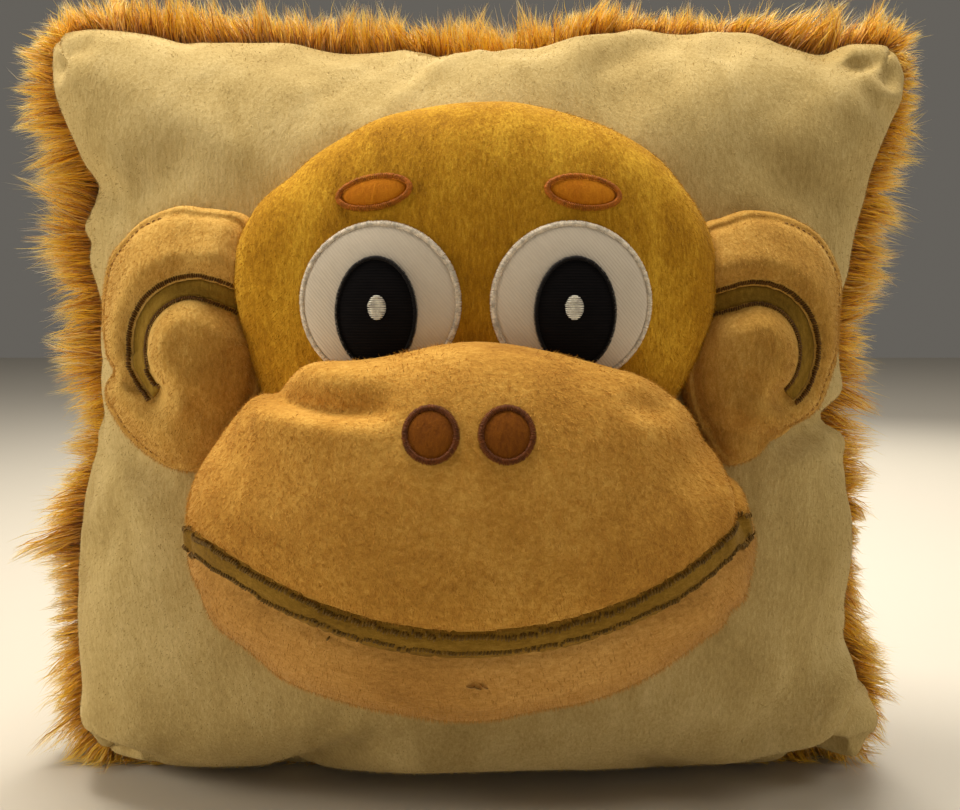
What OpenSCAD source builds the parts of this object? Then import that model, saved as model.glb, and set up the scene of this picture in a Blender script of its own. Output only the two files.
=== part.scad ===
// Square face cushion: a stuffed animal face sewn on a padded panel,
// long pile fur on the back, two free-standing padded ears.
// Units are millimetres, +Z up, the face looks toward -Y.
// Origin: centre of the footprint, on the surface the cushion stands on.

/* [Cushion] */
// Width of the front panel half way up, where the sides draw in
panel_w = 336; // [326:2:346]
// Height of the front panel at its middle
panel_h = 330; // [322:2:338]
// How far the stuffed front stands out from the edge seam
front_bulge = 72; // [68:1:76]
// How far the stuffed back stands out from the edge seam
back_bulge = 82; // [76:1:88]
// Share by which the corners flare beyond a plain rounded square
corner_flare = 0.17; // [0.15:0.005:0.18]
// Length of the combed-out pile around the back panel
pile_len = 15; // [12:1:18]
// Thickness of the plush cloth
cloth = 2; // [1.6:0.2:2.4]

/* [Head] */
// Width of the head cap
head_w = 190; // [186:1:192]
// How far the head stands out from the crest of the front panel
head_rise = 32; // [28:1:34]

/* [Muzzle] */
// Width of the muzzle
muzzle_w = 206; // [202:1:208]
// Height of the muzzle
muzzle_h = 136; // [132:1:138]
// How far the muzzle stands out from the crest of the front panel
muzzle_rise = 76; // [72:1:80]
// Width of the mouth band
mouth_w = 9; // [8:0.5:10]
// Radius of a nostril patch with its satin ring
nostril_r = 9.2; // [8.5:0.1:9.6]

/* [Eyes] */
// Radius of the white of an eye with its satin edge
eye_r = 28.4; // [27:0.2:29]
// Half the distance between the eye centres
eye_x = 35; // [34.5:0.5:36]
// Half height of a pupil
pupil_h = 19.5; // [18:0.5:20]
// Half length of an eyebrow with its satin edge
brow_len = 13.6; // [12:0.2:14]

/* [Ears] */
// Radius of the ear flap
ear_r = 50; // [47:1:51]
// Thickness of the stuffed ear at its fullest
ear_thick = 15; // [12:1:16]
// Width of the curved band on the ear
ear_band_w = 7; // [6:0.5:8]

/* [Hidden] */
pa = panel_w/2;                      // half width of the panel
pb = panel_h/2;                      // half height of the panel
cz = pb - 3;                         // height of the panel centre
sagf = 12;                           // sag of the front belly
sagb = 28;                           // sag of the back belly
gap = 0.3;                           // air between neighbouring pieces
ha = head_w/2; hu = 87; hl = 52; hz = 207;
head_top = front_bulge + head_rise;
ma = muzzle_w/2; mb = muzzle_h/2; mz = 133;
muz_top = front_bulge + muzzle_rise;
mouth_m = 0.40;                      // droop of the mouth line, share of mb
seam_y = (muz_top + 2.4 - back_bulge - pile_len - gap)/2;
nose_x = -3.5;                       // the nose sits a little to one side
ea = 5.2;                            // lean of the ear root
ex = -101.5; ez = 201;               // middle of the left ear root
NA = 56;                             // stations round the cushion

// ---------- closed bodies from point grids ----------
// A and B are rings of points from the rim inward, ca and cb close the middle.
module dome(A, ca, B, cb, flip = false) {
  M = len(A); N = len(A[0]); K = M*N + 1;
  pts = concat([for (r = A) each r], [ca], [for (r = B) each r], [cb]);
  f = concat(
    [for (j = [0:1:M-2]) for (i = [0:N-1])
      let(a = j*N+i, b = j*N+(i+1)%N, c = b+N, d = a+N) each [[a,d,c],[a,c,b]]],
    [for (i = [0:N-1]) [(M-1)*N+i, M*N, (M-1)*N+(i+1)%N]],
    [for (j = [0:1:M-2]) for (i = [0:N-1])
      let(a = K+j*N+i, b = K+j*N+(i+1)%N, c = b+N, d = a+N) each [[a,c,d],[a,b,c]]],
    [for (i = [0:N-1]) [K+(M-1)*N+i, K+(M-1)*N+(i+1)%N, K+M*N]],
    [for (i = [0:N-1]) let(a = i, b = (i+1)%N) each [[a,b,K+b],[a,K+b,K+a]]]);
  polyhedron(pts, flip ? [for (t = f) [t[2],t[1],t[0]]] : f, convexity = 10);
}
// A and B are rows of points, row index up, column index to the right.
module slab(A, B, flip = false) {
  R = len(A); C = len(A[0]); K = R*C;
  edge = concat([for (i = [0:C-2]) i], [for (j = [0:R-2]) j*C+C-1],
                [for (i = [C-1:-1:1]) (R-1)*C+i], [for (j = [R-1:-1:1]) j*C]);
  L = len(edge);
  f = concat(
    [for (j = [0:R-2]) for (i = [0:C-2])
      let(a = j*C+i, b = a+1, c = b+C, d = a+C) each [[a,d,c],[a,c,b]]],
    [for (j = [0:R-2]) for (i = [0:C-2])
      let(a = K+j*C+i, b = a+1, c = b+C, d = a+C) each [[a,c,d],[a,b,c]]],
    [for (q = [0:L-1]) let(a = edge[q], b = edge[(q+1)%L]) each [[a,b,K+b],[a,K+b,K+a]]]);
  polyhedron(concat([for (r = A) each r], [for (r = B) each r]),
    flip ? [for (t = f) [t[2],t[1],t[0]]] : f, convexity = 10);
}
// closed ring: A outer and upper loop, B inner and lower loop, both wrapped
module hoop(A, B, C, D, flip = false) {
  N = len(A);
  f = [for (i = [0:N-1]) let(j = (i+1)%N)
    each [[i,j,N+j],[i,N+j,N+i],[N+i,N+j,2*N+j],[N+i,2*N+j,2*N+i],
          [2*N+i,2*N+j,3*N+j],[2*N+i,3*N+j,3*N+i],[3*N+i,3*N+j,j],[3*N+i,j,i]]];
  polyhedron(concat(A,B,C,D), flip ? [for (t = f) [t[2],t[1],t[0]]] : f, convexity = 10);
}
function W(x, f, z) = [x, seam_y - f, z];
function ringr(j, M) = 1 - pow(j/M, 2);

// ---------- cushion ----------
function prof(r, p = 2.4, q = 0.55) = r >= 1 ? 0 : pow(1 - pow(max(r, 0), p), q);
function warp(i, N) = let(t = 360*i/N) t + 7*sin(4*t);
function pR(t) = (1 + corner_flare*pow((1 - cos(4*t))/2, 3))
  / pow(pow(abs(cos(t))/pa, 8) + pow(abs(sin(t))/pb, 8), 1/8);
function panel_ring(r, o, h, rim, sag, s, floor) = [for (i = [0:NA-1])
  let(t = warp(i, NA), q = r*(pR(t) + o))
  W(q*cos(t), s*(rim + (h - rim)*prof(r)), max(floor, cz - sag*(1 - r*r) + q*sin(t)))];
// rim of the pile: in front of the seam, but behind it along the foot
function pile_rim(o) = [for (i = [0:NA-1]) let(t = warp(i, NA), q = pR(t) + o, z = cz + q*sin(t))
  W(q*cos(t), z < 14 ? -0.5 : 4, max(o > 1 ? 0 : 3, z))];
function panel_rings(M, o, h, rim, sag, s, floor) =
  [for (j = [0:M-1]) panel_ring(ringr(j, M), o, h, rim, sag, s, floor)];
function pole(h, sag, s) = W(0, s*h, cz - sag);
function pr(x, z, k = 5, r = 0.5) = k == 0 ? r :
  let(dz = z - cz + sagf*(1 - r*r)) pr(x, z, k - 1, min(1, norm([x, dz])/pR(atan2(dz, x))));
function panelH(x, z) = 0.2 + (front_bulge - 0.2)*prof(pr(x, z));

module front_panel() color([0.73, 0.62, 0.42])
  dome(panel_rings(6, 0, front_bulge, 0.2, sagf, 1, 0), pole(front_bulge, sagf, 1),
       panel_rings(6, -cloth, front_bulge - cloth, 0.2, sagf, 1, cloth), pole(front_bulge - cloth, sagf, 1));

module back_panel() color([0.62, 0.45, 0.2])
  dome(panel_rings(6, 0, back_bulge, 0.2, sagb, -1, 3 + gap), pole(back_bulge, sagb, -1),
       panel_rings(6, -cloth, back_bulge - cloth, 0.2, sagb, -1, 3 + gap + cloth), pole(back_bulge - cloth, sagb, -1), true);

module back_pile() color([0.83, 0.55, 0.12])
  dome(concat([pile_rim(pile_len), panel_ring(1, pile_len, back_bulge + gap + pile_len, 0.9, sagb, -1, 0)],
         [for (j = [1:5]) panel_ring(ringr(j, 6), pile_len, back_bulge + gap + pile_len, 0.9, sagb, -1, 0)]),
       pole(back_bulge + gap + pile_len, sagb, -1),
       concat([pile_rim(0.4), panel_ring(1, 0.4, back_bulge + gap, 0.9, sagb, -1, 3)],
         [for (j = [1:5]) panel_ring(ringr(j, 6), 0.4, back_bulge + gap, 0.2 + gap, sagb, -1, 3)]),
       pole(back_bulge + gap, sagb, -1), true);

module cushion_filling() color([0.95, 0.95, 0.93])
  dome(panel_rings(6, -cloth - 0.7, front_bulge - cloth - 0.7, 0.6, sagf, 1, 4 + cloth), pole(front_bulge - cloth - 0.7, sagf, 1),
       panel_rings(6, -cloth - 0.7, back_bulge - cloth - 0.7, 0.6, sagb, -1, 4 + cloth), pole(back_bulge - cloth - 0.7, sagb, -1));

// ---------- head ----------
function hpt(t, r) = [r*ha*cos(t), hz + r*(sin(t) > 0 ? hu : hl)*sin(t)];
function hrho(x, z) = norm([x/ha, (z - hz)/(z > hz ? hu : hl)]);
function headrim(t) = let(p = hpt(t, 1)) panelH(p[0], p[1]) + 0.8;
function headAt(x, z, drop = 0) = let(r = hrho(x, z),
  t = atan2((z - hz)/(z > hz ? hu : hl), x/ha), e = headrim(t))
  e + (head_top - drop - e)*prof(r, 2.4, 0.5);
function headH(x, z) = hrho(x, z) >= 1 ? panelH(x, z) : max(panelH(x, z), headAt(x, z));
function head_rings(N, M, k, drop) = [for (j = [0:M-1]) let(r = ringr(j, M)) [for (i = [0:N-1])
  let(t = 360*i/N, p = hpt(t, r*k), q = hpt(t, k), e = panelH(q[0], q[1]) + 0.8)
  W(p[0], e + (head_top - drop - e)*prof(r, 2.4, 0.5), p[1])]];

module head_panel() color([0.71, 0.5, 0.12])
  dome(head_rings(44, 6, 1, 0), W(0, head_top, hz),
       head_rings(44, 6, 1 - cloth/hl, cloth), W(0, head_top - cloth, hz));

module head_filling() color([0.95, 0.95, 0.93]) {
  k = 1 - (cloth + 0.7)/hl;
  dome([for (j = [0:5]) let(r = ringr(j, 6)) [for (i = [0:43])
      let(t = 360*i/44, p = hpt(t, r*k), q = hpt(t, k), e = panelH(q[0], q[1]) + 1.6)
      W(p[0], e + (head_top - cloth - 0.7 - e)*prof(r, 2.4, 0.5), p[1])]],
    W(0, head_top - cloth - 0.7, hz),
    [for (j = [0:5]) let(r = 1 - j/6) [for (i = [0:43])
      let(t = 360*i/44, p = hpt(t, r*k)) W(p[0], panelH(p[0], p[1]) + 0.8, p[1])]],
    W(0, panelH(0, hz) + 0.8, hz));
}

// ---------- muzzle ----------
function mpt(t, r) = [r*ma*cos(t), mz + r*mb*sin(t)];
function under(x, z, w) = max([for (d = [[0,0],[w,0],[-w,0],[0,w],[0,-w]]) headH(x + d[0], z + d[1])]);
function mbase(t) = let(p = mpt(t, 1)) under(p[0], p[1], 7) + 0.8;
function muzH(x, z, drop = 0) = let(r = norm([x/ma, (z - mz)/mb]),
  e = mbase(atan2((z - mz)/mb, x/ma))) e + (muz_top - drop - e)*prof(r, 2.6, 0.5);
// share of the radius at which the mouth line is met, 1 above the middle
function mouth_rho(t) = sin(t) >= 0 ? 1 :
  let(s = -sin(t), c = cos(t)*cos(t)*mouth_m)
  min(1, c < 0.0001 ? mouth_m/s : (-s + sqrt(s*s + 4*c*mouth_m))/(2*c));
function muz_pt(t, r, k, drop) = let(p = mpt(t, r*k), q = mpt(t, k), e = mbase(t) )
  W(p[0], e + (muz_top - drop - e)*prof(r, 2.6, 0.5), p[1]);

module muzzle_panel_upper() color([0.78, 0.56, 0.26]) {
  M = 5; N = 48;
  dome([for (j = [0:M-1]) [for (i = [0:N-1]) let(t = 360*i/N) muz_pt(t, mouth_rho(t)*ringr(j, M), 1, 0)]],
    W(0, muz_top, mz),
    [for (j = [0:M-1]) [for (i = [0:N-1]) let(t = 360*i/N) muz_pt(t, mouth_rho(t)*ringr(j, M), 1 - cloth/mb, cloth)]],
    W(0, muz_top - cloth, mz));
}
module muzzle_panel_lower() color([0.76, 0.53, 0.3]) {
  R = 4; C = 28;
  slab([for (j = [0:R]) [for (i = [0:C]) let(t = 184 + 172*i/C, r = 1 - (1 - mouth_rho(t) - 0.014)*pow(j/R, 1.6)) muz_pt(t, r, 1, 0)]],
    [for (j = [0:R]) [for (i = [0:C]) let(t = 184 + 172*i/C, r = 1 - (1 - mouth_rho(t) - 0.014)*pow(j/R, 1.6)) muz_pt(t, r, 1 - cloth/mb, cloth)]]);
}
module muzzle_filling() color([0.95, 0.95, 0.93]) {
  k = 1 - (cloth + 2.4)/mb; N = 48; M = 6;
  dome([for (j = [0:M-1]) [for (i = [0:N-1]) let(t = 360*i/N, r = ringr(j, M), p = mpt(t, r*k), e = mbase(t) + 1)
      W(p[0], e + (muz_top - cloth - 2.4 - e)*prof(r, 2.6, 0.5), p[1])]],
    W(0, muz_top - cloth - 2.4, mz),
    [for (j = [0:M-1]) [for (i = [0:N-1]) let(t = 360*i/N, r = 1 - j/M, p = mpt(t, r*k))
      W(p[0], j == 0 ? mbase(t) : min(under(p[0], p[1], 9) + 0.8, muzH(p[0], p[1]) - 8), p[1])]],
    W(0, under(0, mz, 9) + 0.8, mz));
}

// ---------- pieces lying on a curved surface ----------
// surfaces: 0 head, 1 muzzle, 2 left ear front
function S(w, x, z) = w == 0 ? headH(x, z) : w == 1 ? muzH(x, z) : earH(x, z);
function SP(w, x, z, d) = let(e = 0.8,
  gx = (S(w, x+e, z) - S(w, x-e, z))/(2*e), gz = (S(w, x, z+e) - S(w, x, z-e))/(2*e),
  n = [-gx, 1, -gz]/norm([-gx, 1, -gz]))
  W(x + n[0]*d, S(w, x, z) + n[1]*d, z + n[2]*d);
function mir(p, s) = [s*p[0], p[1], p[2]];
// share of the way from x, z along u, v that stays outside the muzzle
function keep(x, z, u, v) = let(a = ma + 1.4, b = mb + 1.4,
  A = u*u/a/a + v*v/b/b, B = 2*(x*u/a/a + (z - mz)*v/b/b), C = x*x/a/a + (z - mz)*(z - mz)/b/b - 1, D = B*B - 4*A*C)
  (D <= 0 || B >= 0) ? 1 : min(1, (-B - sqrt(D))/(2*A));
module disc_on(w, x, z, a, b, rot, lo, hi, N, M, stop = false) {
  function spot(r, t, d) = let(u = a*cos(t), v = b*sin(t), du = u*cos(rot) - v*sin(rot), dv = u*sin(rot) + v*cos(rot),
    k = r*(stop ? keep(x, z, du, dv) : 1)) SP(w, x + k*du, z + k*dv, d);
  dome([for (j = [0:M-1]) [for (i = [0:N-1]) spot(1 - j/M, 360*i/N, hi)]], SP(w, x, z, hi),
       [for (j = [0:M-1]) [for (i = [0:N-1]) spot(1 - j/M, 360*i/N, lo)]], SP(w, x, z, lo));
}
module ring_on(w, x, z, a, b, rot, width, lo, hi, N) {
  function ring(o, d) = [for (i = [0:N-1]) let(t = 360*i/N, u = (a + o)*cos(t), v = (b + o)*sin(t))
    SP(w, x + u*cos(rot) - v*sin(rot), z + u*sin(rot) + v*cos(rot), d)];
  hoop(ring(0, hi), ring(0, lo), ring(-width, lo), ring(-width, hi));
}
// strip along a curve given by points and sideways directions
module strip_on(w, P, D, o1, o2, lo, hi, s = 1, rows = 1) {
  C = len(P);
  function row(o, d) = [for (i = [0:C-1]) mir(SP(w, P[i][0] + D[i][0]*o, P[i][1] + D[i][1]*o, d), s)];
  slab([for (j = [0:rows]) row(o1 + (o2 - o1)*j/rows, hi)],
       [for (j = [0:rows]) row(o1 + (o2 - o1)*j/rows, lo)], s < 0);
}

MC = 34;
mouthP = [for (i = [0:MC]) let(u = -0.955 + 1.91*i/MC) [u*ma, mz - mb*mouth_m*(1 - u*u)]];
mouthD = [for (i = [0:MC]) let(u = -0.955 + 1.91*i/MC, g = 2*u*mouth_m*mb/ma) [-g, 1]/norm([g, 1])];
module mouth_band() color([0.42, 0.29, 0.07])
  strip_on(1, mouthP, mouthD, -mouth_w/2, mouth_w/2, 0.5, 1.9, 1, 2);
module mouth_stitch_upper() color([0.22, 0.12, 0.03])
  strip_on(1, mouthP, mouthD, mouth_w/2 - 1.5, mouth_w/2 - 0.1, 2.3, 3.1);
module mouth_stitch_lower() color([0.22, 0.12, 0.03])
  strip_on(1, mouthP, mouthD, 0.1 - mouth_w/2, 1.5 - mouth_w/2, 2.3, 3.1);
module chin_tack() color([0.5, 0.33, 0.14]) disc_on(1, -1, 90, 2, 1.2, 0, 0.5, 1.5, 8, 1);

module nostril(x) color([0.48, 0.23, 0.03]) disc_on(1, x, 174.5, nostril_r - 2.3, nostril_r - 2.3, 0, 0.5, 1.9, 20, 2);
module nostril_stitch(x) color([0.35, 0.14, 0.05]) ring_on(1, x, 174.5, nostril_r, nostril_r, 0, 2, 0.5, 2.4, 24);
module nostril_left() nostril(nose_x - 12);
module nostril_right() nostril(nose_x + 12);
module nostril_stitch_left() nostril_stitch(nose_x - 12);
module nostril_stitch_right() nostril_stitch(nose_x + 12);

module eye_white(x) color([0.86, 0.84, 0.8]) disc_on(0, x, 216, eye_r - 2.3, eye_r - 2.3, 0, 0.5, 1.7, 32, 4, true);
// open arc over the top of the eye, from beside the muzzle to beside the muzzle
function eye_arc(x, t1, t2) = [for (i = [0:32]) let(t = t1 + (t2 - t1)*i/32) [x + (eye_r - 1)*cos(t), 216 + (eye_r - 1)*sin(t)]];
function eye_dir(t1, t2) = [for (i = [0:32]) let(t = t1 + (t2 - t1)*i/32) [cos(t), sin(t)]];
module eye_stitch(x, t1, t2) color([0.93, 0.9, 0.85]) strip_on(0, eye_arc(x, t1, t2), eye_dir(t1, t2), -1, 1, 0.5, 2.3);
module pupil(x) color([0.03, 0.03, 0.035]) disc_on(0, x, 212.5, 14.2, pupil_h, 0, 2.1, 3.4, 24, 3, true);
module eye_highlight(x) color([0.96, 0.95, 0.92]) disc_on(0, x, 214.5, 3.2, 4.2, 0, 3.8, 4.8, 12, 1);
module eye_white_left() eye_white(-eye_x);
module eye_white_right() eye_white(eye_x - 1.5);
module eye_stitch_left() eye_stitch(-eye_x, 226, -28);
module eye_stitch_right() eye_stitch(eye_x - 1.5, 208, -46);
module pupil_left() pupil(-eye_x - 1);
module pupil_right() pupil(eye_x - 1);
module eye_highlight_left() eye_highlight(-eye_x - 0.5);
module eye_highlight_right() eye_highlight(eye_x - 1.5);

module brow(x, rot) color([0.72, 0.36, 0.06]) disc_on(0, x, 254.5, brow_len - 2.1, 4.3, rot, 0.5, 1.9, 24, 2);
module brow_stitch(x, rot) color([0.64, 0.34, 0.1]) ring_on(0, x, 254.5, brow_len, 6.3, rot, 1.7, 0.5, 2.4, 28);
module brow_left() brow(-37.5, 9);
module brow_right() brow(36.5, -6);
module brow_stitch_left() brow_stitch(-37.5, 9);
module brow_stitch_right() brow_stitch(36.5, -6);

// ---------- ears, drawn for the left and mirrored for the right ----------
function exz(d, s) = [ex - d*cos(ea) + s*sin(ea), ez + d*sin(ea) + s*cos(ea)];
function eds(x, z) = let(u = x - ex, v = z - ez) [-u*cos(ea) + v*sin(ea), u*sin(ea) + v*cos(ea)];
ec = 19;                              // distance of the ear's middle from its root
function eR(t) = let(line = cos(t) < -0.01 ? ec/-cos(t) : 9999,
  arc = -ec*cos(t) + sqrt(ear_r*ear_r - ec*ec*sin(t)*sin(t)))
  1/pow(pow(1/line, 9) + pow(1/arc, 9), 1/9);
function erho(x, z) = let(p = eds(x, z), u = p[0] - ec) norm([u, p[1]])/eR(atan2(p[1], u));
function earT(r) = 4.2 + (ear_thick - 4.2)*prof(r, 2.2, 0.6);
function earH(x, z) = panelH(x, z) + earT(erho(x, z));
function ept(t, r, k) = let(q = r*(eR(t) + k)) exz(ec + q*cos(t), q*sin(t));
function earring(r, kk, h, N, s) = [for (i = [0:N-1]) let(p = ept(-360*i/N, r, kk))
  mir(W(p[0], panelH(p[0], p[1]) + h, p[1]), s)];
function earmid(h, s) = let(p = exz(ec, 0)) mir(W(p[0], panelH(p[0], p[1]) + h, p[1]), s);
EN = 36;
module ear_front(s) color([0.81, 0.6, 0.32])
  dome([for (j = [0:4]) let(r = ringr(j, 5)) earring(r, 0, j == 0 ? 2.4 : earT(r), EN, s)], earmid(earT(0), s),
       [for (j = [0:4]) let(r = ringr(j, 5)) earring(r, -cloth, j == 0 ? 2.4 : earT(r) - cloth, EN, s)], earmid(earT(0) - cloth, s), s > 0);
module ear_back(s) color([0.76, 0.55, 0.3])
  dome([for (j = [0:3]) earring(1 - j/4, 0, 2, EN, s)], earmid(2, s),
       [for (j = [0:3]) earring(1 - j/4, 0, 0.8, EN, s)], earmid(0.8, s), s > 0);
module ear_filling(s) color([0.95, 0.95, 0.93])
  dome([for (j = [0:4]) let(r = ringr(j, 5)) earring(r, -cloth - 1, j == 0 ? 2.9 : max(3.1, earT(r) - cloth - 0.8), EN, s)], earmid(earT(0) - cloth - 0.8, s),
       [for (j = [0:4]) let(r = ringr(j, 5)) earring(r, -cloth - 1, 2.4, EN, s)], earmid(2.4, s), s > 0);
EC = 20;
bandC = [8, -4]; bandR = 22.5;
bandP = [for (i = [0:EC]) let(t = 100 - 137*i/EC) exz(bandC[0] + bandR*cos(t), bandC[1] + bandR*sin(t))];
bandD = [for (i = [0:EC]) let(t = 100 - 137*i/EC) exz(bandC[0] + bandR*cos(t), bandC[1] + bandR*sin(t))
   - exz(bandC[0] + (bandR-1)*cos(t), bandC[1] + (bandR-1)*sin(t))];
module ear_strip(o1, o2, lo, hi, s, rows)
  strip_on(2, [for (i = [EC:-1:0]) bandP[i]], [for (i = [EC:-1:0]) -bandD[i]], o1, o2, lo, hi, s, rows);
module ear_band(s) color([0.43, 0.3, 0.07]) ear_strip(-ear_band_w/2, ear_band_w/2, 0.5, 1.7, s, 2);
module ear_band_stitch_outer(s) color([0.22, 0.12, 0.03]) ear_strip(0.1 - ear_band_w/2, 1.4 - ear_band_w/2, 2.1, 2.9, s, 1);
module ear_band_stitch_inner(s) color([0.22, 0.12, 0.03]) ear_strip(ear_band_w/2 - 1.4, ear_band_w/2 - 0.1, 2.1, 2.9, s, 1);
SC = 22;
function seam_row(o, h, s) = [for (i = [0:SC]) let(t = 80 - 160*i/SC, r = ear_r + o, p = exz(r*cos(t), r*sin(t)))
  mir(W(p[0], panelH(p[0], p[1]) + h, p[1]), s)];
module ear_edge_seam(s) color([0.86, 0.68, 0.42])
  slab([seam_row(0.5, 3.4, s), seam_row(2.3, 3.0, s)], [seam_row(0.5, 1.4, s), seam_row(2.3, 1.8, s)], s < 0);
module ear_front_left() ear_front(1);
module ear_back_left() ear_back(1);
module ear_filling_left() ear_filling(1);
module ear_band_left() ear_band(1);
module ear_band_stitch_outer_left() ear_band_stitch_outer(1);
module ear_band_stitch_inner_left() ear_band_stitch_inner(1);
module ear_edge_seam_left() ear_edge_seam(1);
module ear_front_right() ear_front(-1);
module ear_back_right() ear_back(-1);
module ear_filling_right() ear_filling(-1);
module ear_band_right() ear_band(-1);
module ear_band_stitch_outer_right() ear_band_stitch_outer(-1);
module ear_band_stitch_inner_right() ear_band_stitch_inner(-1);
module ear_edge_seam_right() ear_edge_seam(-1);

front_panel();
back_panel();
back_pile();
cushion_filling();
head_panel();
head_filling();
muzzle_panel_upper();
muzzle_panel_lower();
muzzle_filling();
mouth_band();
mouth_stitch_upper();
mouth_stitch_lower();
chin_tack();
nostril_left();
nostril_right();
nostril_stitch_left();
nostril_stitch_right();
eye_white_left();
eye_white_right();
eye_stitch_left();
eye_stitch_right();
pupil_left();
pupil_right();
eye_highlight_left();
eye_highlight_right();
brow_left();
brow_right();
brow_stitch_left();
brow_stitch_right();
ear_front_left();
ear_back_left();
ear_filling_left();
ear_band_left();
ear_band_stitch_outer_left();
ear_band_stitch_inner_left();
ear_edge_seam_left();
ear_front_right();
ear_back_right();
ear_filling_right();
ear_band_right();
ear_band_stitch_outer_right();
ear_band_stitch_inner_right();
ear_edge_seam_right();
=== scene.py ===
import bpy, math
import numpy as np
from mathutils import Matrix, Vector
from mathutils.bvhtree import BVHTree


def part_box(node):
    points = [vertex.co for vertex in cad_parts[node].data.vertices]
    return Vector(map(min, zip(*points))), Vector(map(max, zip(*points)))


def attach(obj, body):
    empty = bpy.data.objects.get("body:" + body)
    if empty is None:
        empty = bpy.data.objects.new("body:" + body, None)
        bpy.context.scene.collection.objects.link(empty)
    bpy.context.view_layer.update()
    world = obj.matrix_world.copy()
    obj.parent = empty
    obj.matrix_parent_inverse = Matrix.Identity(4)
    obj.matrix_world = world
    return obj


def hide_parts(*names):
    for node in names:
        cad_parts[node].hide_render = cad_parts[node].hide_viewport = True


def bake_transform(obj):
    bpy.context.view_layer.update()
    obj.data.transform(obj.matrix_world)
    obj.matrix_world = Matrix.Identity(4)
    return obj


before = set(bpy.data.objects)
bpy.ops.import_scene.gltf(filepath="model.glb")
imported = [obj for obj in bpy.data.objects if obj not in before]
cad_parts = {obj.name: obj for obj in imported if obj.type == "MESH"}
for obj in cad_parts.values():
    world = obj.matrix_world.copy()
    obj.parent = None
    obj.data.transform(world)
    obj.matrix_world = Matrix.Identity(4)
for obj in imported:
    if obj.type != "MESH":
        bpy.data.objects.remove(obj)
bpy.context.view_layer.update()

for _n in ("Cube", "Light", "Camera"):
    if bpy.data.objects.get(_n) is not None:
        bpy.data.objects.remove(bpy.data.objects[_n])

SEED = 11
MM = 0.001
_lo, _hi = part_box("front_panel")
SY = _hi[1] * 1000 + 0.2            # seam plane, millimetres


# ------------------------------------------------------------------ helpers
def W(x, f, z):
    """mm: x right, f in front of the seam plane, z up -> world mm"""
    return np.stack(np.broadcast_arrays(x, SY - f, z), axis=-1).astype(float)


def mesh_obj(name, verts, faces, mat=None, smooth=True):
    me = bpy.data.meshes.new(name)
    me.from_pydata([tuple(v) for v in (np.asarray(verts) * MM)], [], [tuple(int(i) for i in f) for f in faces])
    me.update()
    if smooth:
        me.polygons.foreach_set("use_smooth", [True] * len(me.polygons))
    o = bpy.data.objects.new(name, me)
    bpy.context.scene.collection.objects.link(o)
    if mat is not None:
        me.materials.append(mat)
    return o


def verts_of(o):
    n = len(o.data.vertices)
    a = np.empty(n * 3)
    o.data.vertices.foreach_get("co", a)
    return a.reshape(-1, 3) / MM


def set_verts(o, v):
    o.data.vertices.foreach_set("co", (np.asarray(v) * MM).ravel())
    o.data.update()


def grid_faces(nu, nv, base=0, flip=False):
    """(nu+1) x (nv+1) points, row major in v"""
    out = []
    for j in range(nv):
        for i in range(nu):
            a = base + j * (nu + 1) + i
            q = (a, a + 1, a + nu + 2, a + nu + 1)
            out.append(q[::-1] if flip else q)
    return out


def periodic(ts, vals, t):
    """smooth periodic interpolation, degrees"""
    ts = np.asarray(ts, float); vals = np.asarray(vals, float)
    o = np.argsort(ts); ts = ts[o]; vals = vals[o]
    n = len(ts)
    T = np.concatenate([ts - 360, ts, ts + 360]); V = np.concatenate([vals, vals, vals])
    t = np.mod(np.asarray(t, float), 360)
    k = np.clip(np.searchsorted(T, t, side="right") - 1, 1, len(T) - 3)
    t0, t1 = T[k], T[k + 1]
    u = (t - t0) / (t1 - t0)
    m0 = (V[k + 1] - V[k - 1]) / (T[k + 1] - T[k - 1]) * (t1 - t0)
    m1 = (V[k + 2] - V[k]) / (T[k + 2] - T[k]) * (t1 - t0)
    return (2*u**3 - 3*u**2 + 1) * V[k] + (u**3 - 2*u**2 + u) * m0 + (-2*u**3 + 3*u**2) * V[k + 1] + (u**3 - u**2) * m1


def radial(points, cx, cz):
    """outline points in mm -> function of angle giving the radius"""
    p = np.asarray(points, float)
    t = np.degrees(np.arctan2(p[:, 1] - cz, p[:, 0] - cx)) % 360
    r = np.hypot(p[:, 0] - cx, p[:, 1] - cz)
    return lambda a: periodic(t, r, a)


def noise(p, seed, octaves=3, scale=60.0):
    """smooth value noise from sums of seeded plane waves; p in mm"""
    rng = np.random.default_rng(seed)
    out = np.zeros(len(p)); amp = 1.0; tot = 0.0
    for o in range(octaves):
        for _ in range(6):
            d = rng.normal(size=3); d /= np.linalg.norm(d)
            k = 2 * math.pi / (scale / 2**o) * rng.uniform(0.7, 1.3)
            out += amp * np.sin(p @ d * k + rng.uniform(0, 6.28))
        tot += amp * 6 * 0.5
        amp *= 0.5
    return out / tot


# ------------------------------------------------------------------ camera
cam_d = bpy.data.cameras.new("camera")
cam = bpy.data.objects.new("camera", cam_d)
bpy.context.scene.collection.objects.link(cam)
cam_d.sensor_fit = "HORIZONTAL"
cam_d.sensor_width = 36
cam_d.lens = 37.5
cam_d.clip_start = 0.01
cam.location = (0, (SY - 453.6) * MM, 0.214)
cam.rotation_euler = (math.radians(90 - 5.48), 0, 0)
bpy.context.scene.camera = cam

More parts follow.
